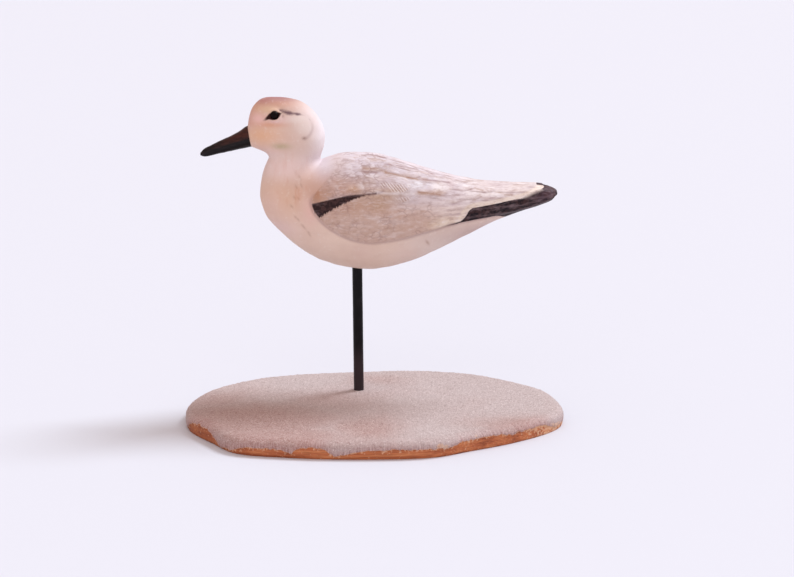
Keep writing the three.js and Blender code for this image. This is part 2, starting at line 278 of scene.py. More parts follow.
saw_marks = waves(11, 24, 2.0, 14.0)
board_rings = [board_ring(board_inset + board_undercut, 0.0)]
wall_top = board_thickness - board_wall_stops_below
for height in np.linspace(board_undercut_height, wall_top, board_rows):
    row = board_ring(board_inset, height)
    depth = 0.1 + 0.08 * saw_marks(row * [1.0, 1.0, 6.0])
    board_rings.append(board_ring(board_inset + depth, height))
for inset, drop in board_rounding:
    board_rings.append(board_ring(board_inset + inset, board_thickness - drop))
board_rings = np.array(board_rings)
board_mesh = skin_mesh("sawn_board", board_rings)
note(
    board_mesh,
    below_sand=bare - board_rings[:, :, 2],
    right_end=smoothstep(board_rings[:, :, 0], 80.0, 108.0),
    left_end=smoothstep(-board_rings[:, :, 0], 60.0, 100.0),
)

wood = Finish("stained_wood")
grain = wood.streaks((14.0, 160.0, 620.0), 6.0, 0.6)
pores = wood.streaks((120.0, 900.0, 2200.0), 3.0, 0.5)
stain_and_shade = wood.ramp(grain, (0.28, colour(134, 68, 38)), (0.48, colour(186, 106, 66)),
                  (0.68, colour(212, 138, 92)))
stain_and_shade = wood.mix(wood.spread(pores, 0.3, 0.6, 0.35, 0.0), stain_and_shade, colour(96, 48, 30))
# Darker towards the left end of the board: painted shade
stain_and_shade = wood.mix(wood.times(wood.attribute("left_end"), 0.3), stain_and_shade, colour(116, 56, 32))
leftover = wood.plus(wood.noise(620.0, 4.0, 0.6), wood.times(wood.attribute("right_end"), 0.17))
near_sand = wood.spread(wood.attribute("below_sand"), 0.2, 2.6, 0.12, 0.0)
stain_and_shade = wood.glaze(stain_and_shade, colour(226, 184, 150), wood.plus(leftover, near_sand), 0.6, 0.74, 0.75)
wood.set(
    Base_Color=stain_and_shade,
    Roughness=wood.spread(grain, 0.3, 0.7, 0.55, 0.78),
    Normal=wood.bump(pores, 0.0003, wood.bump(grain, 0.0006)),
    Specular_IOR_Level=0.3,
)
put_in_place("sawn_board", board_mesh, wood.material, "base_board")


# Sand crust. Fine pinkish sand is sprinkled over glue on the board's top and edge. It is
# about a millimetre thick, rolls softly over the edge, stops in a ragged, combed line above
# the bare stretches and heaps up at the rod. It is pinker and darker to the left and front,
# partly its own tint and partly painted shadow of the bird, and thin in a few places.
sand_top = 10.6
sand_inset = 0.45
roll_width = 6.0
roll_height = 4.4
roll_squareness = 2.2
crust_thickness = 0.45
rod_x = -9.7
bird_y = 34.4
rod_radius = 3.175

# A pinker, darker patch, partly painted shadow, is x and y, a reach along each and a strength.
# A thin place has one reach.
pink_patches = [
    (-72.0, -36.0, 56.0, 42.0, 1.0), (-100.0, 20.0, 30.0, 40.0, 0.5), (-24.0, 6.0, 40.0, 34.0, 0.5),
    (-62.0, -72.0, 60.0, 24.0, 1.0), (-8.0, -54.0, 26.0, 34.0, 0.75), (84.0, -48.0, 28.0, 18.0, 0.6),
    (4.0, 62.0, 22.0, 18.0, 0.4),
]
thin_places = [(39.0, -80.0, 7.0, 0.8), (60.0, -68.0, 4.0, 0.5), (106.0, -26.0, 11.0, 0.75)]
grain_radius = 0.32
grains_to_the_square_metre = 260000.0
edge_rows = 26
top_rows = 40
far_above = 9.0
heap_height = 0.5
heap_reach = rod_radius + 1.3
whole_turn = 6.28


def bell(value, width):
    """1 where the value is 0, falling off smoothly to either side."""
    return np.exp(-((value / width) ** 2))


lean = np.linspace(0.0, math.pi / 2.0, 60)
profile = np.vstack([[sand_inset, 0.0], np.column_stack([
    sand_inset + roll_width * (1.0 - np.cos(lean) ** (2.0 / roll_squareness)),
    sand_top - roll_height * (1.0 - np.sin(lean) ** (2.0 / roll_squareness)),
])])
places = np.concatenate([[0.0], np.cumsum(np.linalg.norm(np.diff(profile, axis=0), axis=1))])
slope = np.gradient(profile, places, axis=0)
cut = np.interp(bare, profile[:, 1], places)


def crust_ring(share, sunk=0.0):
    """A ring at a share of the way from the ragged edge up and in, and its level of slope."""
    place = cut + (places[-1] - cut) * share
    inset, height = (np.interp(place, places, profile[:, k]) for k in (0, 1))
    lean_in, lean_up = (np.interp(place, places, slope[:, k]) for k in (0, 1))
    return board_ring(inset + lean_up * sunk, height - lean_in * sunk), lean_in


# The crust's rings run down its inner side to the ragged edge, up over the outside and in over
# the top to the middle, where the sand lies as strewn
drift = waves(21, 30, 22.0, 70.0)
lumps = waves(22, 60, 3.0, 9.0)
pebbles = waves(23, 90, 1.6, 3.0)
crust_rings = [crust_ring(share, crust_thickness)[0] for share in (1.0, 0.6, 0.3, 0.1, 0.0)]
strewn = [np.zeros(board_points)] * len(crust_rings)
above_edge = [np.zeros(board_points)] * len(crust_rings)
for share in np.linspace(0.0, 1.0, edge_rows) ** 1.3:
    ring, level = crust_ring(share, 0.25 * (1.0 - smoothstep(share, 0.0, 0.12)))
    rough = 0.5 + 0.5 * smoothstep(share, 0.0, 0.4)
    stand = 0.1 * lumps(ring) + 0.09 * pebbles(ring) + 0.1 * drift(ring) * level
    way = np.column_stack([outward * (1.0 - level)[:, None], level])
    crust_rings.append(ring + way * (np.clip(stand, -0.25, 0.3) * rough)[:, None])
    strewn.append(np.full(board_points, float(smoothstep(share, 0.2, 0.5))) * level)
    above_edge.append(ring[:, 2] - bare)
rim = crust_ring(1.0)[0]
for share in np.linspace(0.0, 1.0, top_rows)[1:-1]:
    ring = np.column_stack([rim[:, :2] * (1.0 - share), rim[:, 2]])
    stand = 0.1 * lumps(ring) + 0.09 * pebbles(ring) + 0.1 * drift(ring)
    from_rod = np.hypot(ring[:, 0] - rod_x, ring[:, 1] - bird_y)
    stand += heap_height * np.exp(-((from_rod / heap_reach) ** 4))
    crust_rings.append(ring + [0.0, 0.0, 1.0] * np.clip(stand, -0.4, 0.32)[:, None])
    strewn.append(np.ones(board_points))
    above_edge.append(np.full(board_points, far_above))
crust_rings = np.array(crust_rings)
crust_x, crust_y = crust_rings[:, :, 0], crust_rings[:, :, 1]
pink = np.zeros(crust_x.shape)
for x, y, reach_x, reach_y, strength in pink_patches:
    patch = np.exp(-((crust_x - x) / reach_x) ** 2 - ((crust_y - y) / reach_y) ** 2)
    pink = np.maximum(pink, patch * strength)
above_edge = np.array(above_edge)
thin = 0.7 - 0.7 * smoothstep(above_edge, 0.0, 0.8)
for x, y, reach, strength in thin_places:
    near = bell(np.hypot(crust_x - x, crust_y - y), reach)
    thin = np.maximum(thin, near * strength * (1.0 - smoothstep(above_edge, 1.5, 4.5)))

crust_mesh = skin_mesh("sand_crust", crust_rings)
note(
    crust_mesh,
    strewn=np.array(strewn),
    pink=pink,
    thin=thin,
    combed=np.exp(-np.maximum(above_edge, 0.0) / 2.2),
    around=np.broadcast_to(around, crust_x.shape),
)

sand = Finish("glued_sand")
speck = sand.node("TexVoronoi", {"Vector": sand.place, "Scale": 1900.0}).outputs["Color"]
speck_tone = sand.node("SeparateColor", {"Color": speck}).outputs[0]
patches = sand.noise(26.0, 4.0, 0.55)
# The pinker, darker bed is partly the sand's own tint and partly painted shadow, where the bird's
# shadow falls on the left and front
is_pink = sand.spread(sand.plus(sand.attribute("pink"), sand.times(patches, 0.7)), 0.3, 1.2)
bed = sand.mix(is_pink, colour(204, 194, 194), colour(174, 131, 122))
grit = sand.ramp(speck_tone, (0.0, colour(138, 108, 100)), (0.2, colour(184, 168, 165)),
                 (0.8, colour(200, 184, 181)), (1.0, colour(240, 230, 228)))
tone = sand.mix(0.5, bed, grit)
tone = sand.glaze(tone, colour(238, 226, 222), sand.attribute("grain"), 0.0, 1.0, 0.35)
sand_height = sand.node("SeparateXYZ", {"Vector": sand.place}).outputs["Z"]
on_edge = sand.node("CombineXYZ", {"X": sand.attribute("around"), "Y": sand_height}).outputs[0]
comb_place = sand.node("Mapping", {"Vector": on_edge, "Scale": (1.1, 140.0, 1.0)}).outputs[0]
teeth = sand.noise(1.0, 3.0, 0.6, comb_place)
combed = sand.attribute("combed")
tone = sand.mix(sand.times(combed, 0.55), tone, colour(172, 116, 106))
tone = sand.glaze(tone, colour(150, 110, 112), teeth, 0.5, 0.62, 0.75, combed)
tone = sand.glaze(tone, colour(218, 192, 190), teeth, 0.5, 0.38, 0.7, combed)
worn = sand.plus(sand.attribute("thin"), sand.noise(520.0, 4.0, 0.65))
tone = sand.glaze(tone, colour(226, 188, 156), worn, 0.95, 1.12, 0.55)
tone = sand.glaze(tone, colour(186, 112, 72), worn, 1.18, 1.4, 0.9)
sand.set(
    Base_Color=tone,
    Roughness=sand.spread(patches, 0.3, 0.7, 0.9, 1.0),
    Specular_IOR_Level=0.25,
    Normal=sand.bump(sand.noise(1500.0, 2.0, 0.6), 0.0004, sand.bump(speck_tone, 0.0002)),
)


def strew_grains(mesh, material):
    """Coarser grains scattered over a mesh, by a tree that stands, turns and sizes each one."""
    tree = bpy.data.node_groups.new("strewn_grains", "GeometryNodeTree")
    tree.interface.new_socket("Geometry", in_out="OUTPUT", socket_type="NodeSocketGeometry")
    tree.interface.new_socket("Geometry", in_out="INPUT", socket_type="NodeSocketGeometry")
    inputs = {}
    for label, kind, value in (("Grain radius", "Float", grain_radius * MM),
                               ("Grains per area", "Float", grains_to_the_square_metre),
                               ("Seed", "Int", 7), ("Material", "Material", material)):
        socket = tree.interface.new_socket(label, in_out="INPUT", socket_type="NodeSocket" + kind)
        inputs[socket.identifier] = value

    def node(kind, links=None, **settings):
        made = tree.nodes.new(kind)
        for key, value in settings.items():
            setattr(made, key, value)
        for key, value in (links or {}).items():
            if isinstance(value, bpy.types.NodeSocket):
                tree.links.new(value, made.inputs[key])
            else:
                made.inputs[key].default_value = value
        return made

    given = node("NodeGroupInput").outputs
    strewn_at = node("GeometryNodeInputNamedAttribute", {"Name": "strewn"}, data_type="FLOAT")
    dense = node("ShaderNodeMath", {0: strewn_at.outputs[0], 1: given["Grains per area"]},
                 operation="MULTIPLY")
    points = node("GeometryNodeDistributePointsOnFaces", {
        "Mesh": given["Geometry"], "Density": dense.outputs[0], "Seed": given["Seed"]})
    ball = node("GeometryNodeMeshUVSphere", {
        "Segments": 4, "Rings": 2, "Radius": given["Grain radius"]})
    size = node("FunctionNodeRandomValue", {
        0: (0.5, 0.5, 0.4), 1: (1.3, 1.0, 0.9), "Seed": given["Seed"]}, data_type="FLOAT_VECTOR")
    spin = node("FunctionNodeRandomValue", {
        0: (0.0,) * 3, 1: (whole_turn,) * 3, "Seed": 3}, data_type="FLOAT_VECTOR")
    placed = node("GeometryNodeInstanceOnPoints", {
        "Points": points.outputs["Points"], "Instance": ball.outputs["Mesh"],
        "Rotation": spin.outputs[0], "Scale": size.outputs[0]})
    shade = node("FunctionNodeRandomValue", {2: 0.0, 3: 1.0, "Seed": 5}, data_type="FLOAT")
    shaded = node("GeometryNodeStoreNamedAttribute", {
        "Geometry": placed.outputs[0], "Name": "grain", "Value": shade.outputs[1]},
        data_type="FLOAT", domain="INSTANCE")
    joined = node("GeometryNodeJoinGeometry", {"Geometry": given["Geometry"]})
    tree.links.new(shaded.outputs[0], joined.inputs[0])
    real = node("GeometryNodeRealizeInstances", {"Geometry": joined.outputs[0]})
    coated = node("GeometryNodeSetMaterial", {
        "Geometry": real.outputs[0], "Material": given["Material"]})
    tree.links.new(coated.outputs[0], node("NodeGroupOutput").inputs[0])

    carrier = bpy.data.objects.new("crust_carrier", mesh)
    bpy.context.scene.collection.objects.link(carrier)
    modifier = carrier.modifiers.new("grains", "NODES")
    modifier.node_group = tree
    for identifier, value in inputs.items():
        modifier[identifier] = value
    seen = carrier.evaluated_get(bpy.context.evaluated_depsgraph_get())
    made = bpy.data.meshes.new_from_object(seen)
    carrier.modifiers.clear()
    bpy.data.objects.remove(carrier)
    return made


put_in_place("sand_crust", strew_grains(crust_mesh, sand.material), sand.material,
             "sand_layer")


# Support rod. A plain round rod, a quarter inch thick and painted satin black. It stands in
# a hole in the board and runs up into the belly, and its foot is dusty with sand.
rod_sides = 64
rod_rows = 70
brush_mark = 0.02
rod_low, rod_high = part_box("support_rod")


def level_circle(sides, radius, height):
    """Points round a level circle about the upright axis."""
    turns = np.linspace(0.0, 2.0 * math.pi, sides, endpoint=False)
    return np.column_stack([np.cos(turns) * radius, np.sin(turns) * radius, np.full(sides, height)])


brush = waves(31, 20, 3.0, 12.0)
outwards = level_circle(rod_sides, 1.0, 0.0)
rod_rings = []
for height in np.linspace(rod_low.z / MM, rod_high.z / MM, rod_rows):
    ring = outwards * rod_radius + [rod_x, bird_y, height]
    rod_rings.append(ring - outwards * (brush_mark + brush_mark * brush(ring))[:, None])
black = Finish("black_rod_paint")
dust = black.noise(160.0, 4.0, 0.6)
scuffs = black.streaks((900.0, 900.0, 90.0), 3.0, 0.5)
rod_paint = black.glaze(colour(14, 12, 15), colour(27, 24, 28), dust, 0.45, 0.75, 1.0)
rod_height = black.node("SeparateXYZ", {"Vector": black.place}).outputs["Z"]
black.set(
    Base_Color=black.glaze(rod_paint, colour(50, 41, 45), rod_height, 0.044, 0.026, 1.0),
    Roughness=black.spread(scuffs, 0.3, 0.7, 0.34, 0.5),
    Normal=black.bump(scuffs, 0.00008),
    Specular_IOR_Level=0.12,
)
put_in_place("black_rod", skin_mesh("black_rod", rod_rings), black.material,
             "support_rod")


# Bird. One block of wood carved to a wading bird with folded wings, then painted in thin matt
# washes. Its form is a row of ribs, each a slice across the bird, from the tail tip round the
# neck to the base of the bill, and its feathers are carved and painted over that form.
wing_step = 1.1
scapular_step = 0.5
tertial_step = 0.8
rib_count = 404
ring_count = 240

# Each rib is back x and z, belly x and z, half width, height of the widest line as a share of
# the slice, and squareness
bird_ribs = [
    (115.5, 136.0, 115.5, 135.2, 2.0, 0.50, 2.1),
    (115.0, 137.6, 114.9, 133.4, 4.6, 0.50, 2.2), (112.4, 139.2, 112.2, 130.5, 7.6, 0.52, 2.3),
    (105.0, 141.4, 104.6, 127.2, 10.6, 0.56, 2.4), (92.0, 142.3, 91.5, 123.1, 13.6, 0.62, 2.4),
    (79.6, 142.8, 76.2, 117.8, 16.8, 0.64, 2.4), (64.0, 144.4, 61.5, 110.5, 20.8, 0.64, 2.3),
    (45.0, 148.8, 42.3, 101.0, 25.4, 0.60, 2.2), (26.0, 154.6, 22.2, 92.7, 29.0, 0.56, 2.2),
    (6.0, 160.9, 1.0, 88.5, 31.3, 0.54, 2.2), (-9.0, 162.4, -17.0, 90.0, 31.4, 0.53, 2.2),
    (-19.0, 161.8, -34.1, 95.3, 30.2, 0.52, 2.2), (-26.0, 160.0, -48.3, 104.3, 28.0, 0.50, 2.15),
    (-29.9, 158.5, -59.0, 114.0, 25.4, 0.48, 2.1), (-31.0, 158.2, -66.7, 123.1, 22.6, 0.46, 2.1),
    (-31.3, 158.8, -70.5, 136.0, 19.6, 0.45, 2.05), (-31.3, 160.2, -69.5, 146.5, 17.6, 0.46, 2.0),
    (-30.8, 162.2, -65.2, 156.4, 16.3, 0.48, 2.0), (-29.2, 167.5, -63.7, 160.3, 16.4, 0.50, 2.0),
    (-28.8, 176.0, -65.4, 162.9, 16.9, 0.50, 2.0), (-33.2, 186.2, -67.6, 164.2, 16.8, 0.49, 2.0),
    (-43.4, 194.8, -69.6, 165.1, 15.8, 0.48, 2.05), (-57.0, 197.4, -71.2, 165.7, 13.8, 0.48, 2.1),
    (-66.8, 196.8, -72.3, 166.1, 11.8, 0.48, 2.1), (-72.4, 192.1, -73.1, 166.4, 9.6, 0.48, 2.1),
    (-75.2, 185.4, -73.6, 166.6, 7.8, 0.48, 2.1), (-76.2, 179.9, -73.9, 166.7, 5.9, 0.48, 2.1),
]

# Lines in the side view, x and z: the edges of the wing, of the long inner feathers, of the
# shoulder feathers and of the black
wing_edge = [
    (-22.3, 154.8), (-30.3, 146.4), (-35.3, 140.5), (-36.9, 135.2), (-34.2, 128.6),
    (-25.8, 120.1), (-13.6, 113.4), (-0.2, 110.8), (16.9, 112.7), (35.4, 117.0),
    (53.9, 121.3), (80.9, 124.1), (92.0, 125.6), (104.0, 129.4), (118.0, 136.0),
]
tertial_edge = [
    (45.9, 116.4), (54.6, 121.3), (60.5, 129.4), (75.6, 131.5), (94.3, 134.6), (104.8, 138.9),
    (108.0, 145.0),
]
scapular_edge = [
    (-38.0, 135.4), (-25.5, 138.3), (-11.4, 141.7), (2.9, 142.0), (14.0, 139.8), (26.0, 135.6),
    (40.0, 133.6), (54.0, 133.4), (66.0, 133.0),
]
black_edge = [
    (44.0, 118.4), (49.5, 120.5), (52.0, 121.5), (54.4, 122.3), (56.6, 123.6), (58.2, 125.8),
    (59.7, 129.0), (61.7, 130.5), (66.3, 131.0), (78.7, 132.8), (86.2, 134.2), (92.6, 134.9),
    (95.6, 136.1), (98.8, 137.7), (102.2, 138.8), (105.0, 139.8), (107.4, 141.2), (109.0, 146.0),
]


def ribs_between(ribs, wanted):
    """Ribs on a smooth curve through the given ones, at shares 0 to 1 of the way along."""
    rows = np.array(ribs)
    ends = np.hypot(np.diff(rows[:, [0, 2]], axis=0), np.diff(rows[:, [1, 3]], axis=0))
    places = np.concatenate([[0.0], np.cumsum(ends.mean(1))])
    last = len(rows) - 1
    before = np.maximum(np.arange(last + 1) - 1, 0)
    after = np.minimum(np.arange(last + 1) + 1, last)
    slopes = (rows[after] - rows[before]) / (places[after] - places[before])[:, None]
    place = np.asarray(wanted) * places[-1]
    i = np.clip(np.searchsorted(places, place, "right") - 1, 0, last - 1)
    span = (places[i + 1] - places[i])[:, None]
    t = (place - places[i])[:, None] / span
    return (rows[i] * (1 + 2 * t) * (1 - t) ** 2 + rows[i + 1] * t * t * (3 - 2 * t)
            + slopes[i] * span * t * (1 - t) ** 2 + slopes[i + 1] * span * t * t * (t - 1))


def rings_of(ribs, turns):
    """The rings of a row of ribs, from the belly up the near side and down the far side."""
    back_x, back_z, belly_x, belly_z, half_width, level, squareness = (
        ribs[:, k:k + 1] for k in range(7))
    power = 2.0 / squareness
    rise = -np.sign(np.cos(turns)) * np.abs(np.cos(turns)) ** power
    share = level + rise * np.where(rise > 0.0, 1.0 - level, level)
    out = np.sign(np.sin(turns)) * np.abs(np.sin(turns)) ** power
    x = belly_x + (back_x - belly_x) * share
    z = belly_z + (back_z - belly_z) * share
    return np.stack([x, bird_y - half_width * out, z], -1)


def smooth_line(points, steps):
    """Points on a smooth curve through the given ones."""
    points = np.array(points, float)
    padded = np.vstack([points[:1], points, points[-1:]])
    t = np.linspace(0.0, 1.0, steps, endpoint=False)[:, None]
    line = []
    for p0, p1, p2, p3 in zip(padded, padded[1:], padded[2:], padded[3:]):
        out = (p2 - p0) / 2.0
        into = (p3 - p1) / 2.0
        line.append(((2.0 * p1 - 2.0 * p2 + out + into) * t
                     + (-3.0 * p1 + 3.0 * p2 - 2.0 * out - into)) * t * t + out * t + p1)
    return np.vstack(line + [points[-1:]])


def over(line, x, z):
    """Distance to an open line in the side view, positive above a line that runs to +X."""
    nearest = np.full(np.shape(x), 1e9)
    signed = np.zeros(np.shape(x))
    for (ax, az), (bx, bz) in zip(line, line[1:]):
        run_x, run_z = bx - ax, bz - az
        t = np.clip(((x - ax) * run_x + (z - az) * run_z) / (run_x**2 + run_z**2), 0.0, 1.0)
        off_x, off_z = x - ax - run_x * t, z - az - run_z * t
        away = np.hypot(off_x, off_z)
        closer = away < nearest
        side = np.where(run_x * off_z - run_z * off_x >= 0.0, 1.0, -1.0)
        signed = np.where(closer, away * side, signed)
        nearest = np.minimum(nearest, away)
    return signed


def spaced(count, density):
    """Shares from 0 to 1 that crowd where the density function is high."""
    fine = np.linspace(0.0, 1.0, 2001)
    total = np.concatenate([[0.0], np.cumsum(density((fine[1:] + fine[:-1]) / 2.0))])
    return np.interp(np.linspace(0.0, total[-1], count), total, fine)


def rib_density(share):
    """How close the ribs stand, from the tail tip to the bill: closest at the tail and the eye."""
    around_eye = 0.6 * bell(share - 0.905, 0.045)
    tail_tip = 1.5 * bell(share, 0.02)
    neck = 0.55 * smoothstep(share, 0.55, 0.66) - 0.2 * smoothstep(share, 0.74, 0.8)
    return 1.25 - neck + around_eye + tail_tip


def turn_density(share):
    """How close the points of a rib stand: wider apart on the plain belly."""
    height = -np.cos(2.0 * math.pi * share)
    return 1.0 + 0.5 * smoothstep(height, -0.6, -0.3)


rib_shares = spaced(rib_count, rib_density)
turns = 2.0 * math.pi * spaced(ring_count + 1, turn_density)[:-1]
ribs = ribs_between(bird_ribs, rib_shares)
smooth = rings_of(ribs, turns)


def normals_of(grid):
    """The way out of the surface at each point of a grid of rings."""
    along = np.gradient(grid, axis=0)
    around = np.roll(grid, -1, axis=1) - np.roll(grid, 1, axis=1)
    normal = np.cross(around, along)
    return normal / np.maximum(np.linalg.norm(normal, axis=2, keepdims=True), 1e-9)


normals = normals_of(smooth)
side_x, side_z = smooth[:, :, 0], smooth[:, :, 2]
carved_grid = side_x.shape
over_wing = over(smooth_line(wing_edge, 6), side_x, side_z)
over_tertials = over(smooth_line(tertial_edge, 6), side_x, side_z)
over_scapulars = over(smooth_line(scapular_edge, 6), side_x, side_z)
nape = smoothstep(side_z, 144.0, 158.0) * smoothstep(-side_x, 0.0, 24.0)
high_up = smoothstep(side_z, 149.0, 158.0)
on_wing = smoothstep(over_wing, -0.9, 0.9) * (1.0 - high_up)
on_wing += smoothstep(side_x, -32.0, -10.0) * high_up
wing_form = wing_step * (on_wing - 1.0) * (1.0 - nape)
tucked = (smoothstep(over_tertials, -0.8, 0.8) - 1.0) * smoothstep(side_x, 44.0, 54.0)
wing_form += tertial_step * tucked * (1.0 - smoothstep(side_x, 104.0, 112.0)) * on_wing
flank_groove = bell(over_wing + 1.4, 0.8) * smoothstep(side_z, 152.0, 136.0)
wing_form -= 0.35 * (flank_groove * smoothstep(-side_x, -112.0, -96.0))

# The wing's feathers are laid out on rows that run from the midline of the back, row 0, to
# the wing's lower edge, row 1. A half ring from the back outwards carries these rows.
off_wing = 9.0
row_shares = np.linspace(0.0, 1.15, 116)
middle = int(np.argmin(np.abs(turns - math.pi)))
half_rings = {
    -1: np.arange(middle, -1, -1),
    1: np.concatenate([np.arange(middle, ring_count), [0]]),
}


def rows_on(side):
    """Points of every rib on the wing's rows, on one side of the bird, and the vertex rows."""
    columns = half_rings[side]
    points = smooth[:, columns]
    steps = np.linalg.norm(np.diff(points, axis=1), axis=2)
    arc = np.concatenate([np.zeros((rib_count, 1)), np.cumsum(steps, axis=1)], axis=1)
    inside = np.where(over_wing[:, columns] > 0.0, arc, 0.0)
    width = np.maximum.accumulate(inside.max(1))[:, None]
    rows = np.empty((rib_count, len(row_shares), 3))
    for i in range(rib_count):
        for k in range(3):
            rows[i, :, k] = np.interp(row_shares * width[i], arc[i], points[i, :, k])
    return rows, arc / width, columns


row_points = {side: rows_on(side) for side in (-1, 1)}
row_of = np.full(carved_grid, off_wing)
for side in (1, -1):
    row_of[:, row_points[side][2]] = row_points[side][1]


def place_at(side, row, x):
    """The point of the smooth body on a row of the wing, at a distance along the bird."""
    rows = row_points[side][0]
    share = np.clip(row, 0.0, row_shares[-1]) / row_shares[-1] * (len(row_shares) - 1)
    low = min(int(share), len(row_shares) - 2)
    line = rows[:, low] + (rows[:, low + 1] - rows[:, low]) * (share - low)
    return np.array([np.interp(-x, -line[:, 0], line[:, k]) for k in range(3)])


skin_depth = 5.0
raised, dark_line, pale_rim, buff, barbed, white_end, along_feather, across_feather = (
    np.zeros(carved_grid) for _ in range(8))


def lay_feather(side, root, tip, half, thick, tip_round, marks):
    """Carves one feather over those behind it. Root and tip are places along the bird and rows,
    and the marks are how strong its lower line, pale rim, buff edge, barbs and white end are."""
    line_mark, rim_mark, buff_mark, barb_mark, white_mark = marks
    middle_x, middle_row = (root[0] + tip[0]) / 2.0, (root[1] + tip[1]) / 2.0
    root_point = place_at(side, root[1], root[0])
    middle_point = place_at(side, middle_row, middle_x)
    along_way = place_at(side, tip[1], tip[0]) - root_point
    reach = np.linalg.norm(along_way)
    along_way /= reach
    out_way = place_at(side, middle_row + 0.03, middle_x) - middle_point
    out_way -= along_way * (out_way @ along_way)
    out_way /= np.linalg.norm(out_way)
    off_way = np.cross(along_way, out_way)
    offset = smooth - middle_point
    near = (np.abs(offset) < reach * 0.6 + half).all(2) & (np.abs(offset @ off_way) < skin_depth)
    points = smooth[near] - root_point
    along, across = points @ along_way, points @ out_way
    past = np.maximum(along - (reach - half * tip_round), 0.0) / (half * tip_round)
    width = half * (0.55 + 0.45 * smoothstep(along / reach, 0.0, 0.4))
    inside = (1.0 - np.hypot(past, across / width)) * half
    laid = smoothstep(inside, -0.45, 0.55) * smoothstep(along, 0.0, 3.0)
    share = np.clip(along / reach, 0.0, 1.0)
    shown = smoothstep(share, 0.2, 0.5)

    def over_paint(values, new):
        """This feather's own value, where it lies over the others."""
        values[near] = values[near] * (1.0 - laid) + new * laid

    dome = np.clip(across / half, -1.0, 1.0) ** 2
    thinned = 1.0 - 0.4 * smoothstep(past, 0.0, 1.0)
    over_paint(raised, thick * (0.1 + 0.9 * share - 0.3 * dome * share) * thinned)
    over_paint(dark_line, 0.0)
    beside = smoothstep(across / width, 0.3, 0.85)
    outside = bell(inside + 0.6, 0.55) * shown * beside * (inside < 0.4)
    dark_line[near] = np.maximum(dark_line[near], outside * line_mark)
    over_paint(pale_rim, bell(inside - 0.8, 0.8) * shown * rim_mark * (0.35 + 0.65 * beside))
    over_paint(buff, buff_mark * smoothstep(across / half, 0.1, 0.8) * smoothstep(share, 0.1, 0.4))
    over_paint(barbed, barb_mark * smoothstep(share, 0.1, 0.3) * smoothstep(inside, 0.2, 1.0)
               * smoothstep(across / half, -0.15, 0.2))
    lower = smoothstep(across / half, -0.3, 0.6)
    over_paint(white_end, white_mark * smoothstep(share, 0.3, 0.9) * (1.0 - lower * 0.8))
    flat = np.flatnonzero(near.ravel())[laid > 0.5]
    along_feather.ravel()[flat] = along[laid > 0.5]
    across_feather.ravel()[flat] = across[laid > 0.5]


# The wing's feathers, from the lowest layer up. Each group has its rows, with half width and
# tips, then the feathers' length, thickness, roundness of the tip and marks. On the back the
# tips of all rows come in the same ranks.
ranks = np.array([-12.0, 8.0, 30.0, 47.5, 62.0, 75.5, 87.0, 97.0, 105.0])
feather_groups = [
    ([(0.93 - 0.14 * k, 4.2, np.arange(103.0 - 9.0 * k, 112.5, 9.0)) for k in range(4)],
     60.0, 0.5, 3.0, (1.0, 0.2, 0.0, 0.0, 0.0)),
    ([(0.97, 5.0, (50.0, 62.0)), (0.85, 5.0, (46.0, 58.0))],
     30.0, 0.2, 1.2, (0.2, 0.2, 0.0, 0.0, 0.0)),
    ([(0.84, 3.6, ranks[4:] + 4.0), (0.68, 4.0, ranks[4:]), (0.52, 4.2, ranks[4:] + 4.0),
      (0.36, 4.2, ranks[4:])],
     24.0, 0.3, 1.5, (0.9, 0.35, 0.35, 0.2, 0.8)),
    ([(0.20, 4.2, ranks[4:] + 3.0), (0.05, 4.0, ranks[4:])],
     24.0, 0.3, 1.5, (0.35, 0.35, 0.2, 0.0, 0.5)),
    ([(0.97, 5.6, np.arange(-14.0, 45.0, 18.0)), (0.84, 6.2, np.arange(-24.0, 37.0, 18.0)),
      (0.71, 6.2, np.arange(-12.0, 45.0, 19.0))],
     27.0, 0.12, 1.2, (0.1, 0.2, 0.2, 0.15, 0.0)),
    ([(0.58, 3.6, (25.5,))], 14.0, 0.16, 1.3, (0.2, 0.3, 0.3, 0.6, 0.1)),
    ([(0.445, 5.6, (8.0, 47.5)), (0.265, 4.8, ranks[:4]), (0.14, 4.0, ranks[:5]),
      (0.03, 3.6, ranks[:5])],
     27.0, 0.34, 1.3, (0.9, 0.3, 0.5, 0.12, 0.7)),
    ([(0.445, 5.6, (24.0,))], 24.0, 0.34, 1.3, (0.5, 0.4, 0.3, 1.3, 0.6)),
    ([(0.10 * k, 4.0, np.arange(-24.0 + 4.0 * (k % 2), 1.0, 7.5)) for k in range(6)],
     11.0, 0.28, 1.0, (0.7, 0.35, 0.6, 0.0, 0.6)),
]
for side in (-1, 1):
    chance = np.random.default_rng(40 + side)
    for group_rows, length, thick, tip_round, marks in feather_groups:
        for row, half, tips in group_rows:
            for tip_x in tips[::-1]:
                tip_x += chance.normal() * 0.9
                tip_row = row + chance.normal() * 0.008
                narrow = 1.1 - 0.35 * float(smoothstep(tip_x, 25.0, 110.0))
                root = (tip_x - length * chance.uniform(0.92, 1.08), tip_row)
                varied = np.array(marks) * chance.uniform(0.5, 1.2, 5)
                lay_feather(side, root, (tip_x, tip_row), half * narrow, thick, tip_round, varied)

behind_shoulder = smoothstep(side_x, -36.0, -18.0)
faded_in = behind_shoulder + (1.0 - behind_shoulder) * smoothstep(row_of, 0.55, 0.7)
raised *= on_wing * faded_in
laid_under = smoothstep(over_scapulars, -1.2, 1.2) - 1.0
wing_form += scapular_step * laid_under * on_wing * (1.0 - smoothstep(side_x, 50.0, 62.0))
hand_cut = waves(51, 40, 7.0, 22.0)
relief = wing_form + raised + 0.1 * hand_cut(smooth) - 0.1 - 0.15 * on_wing

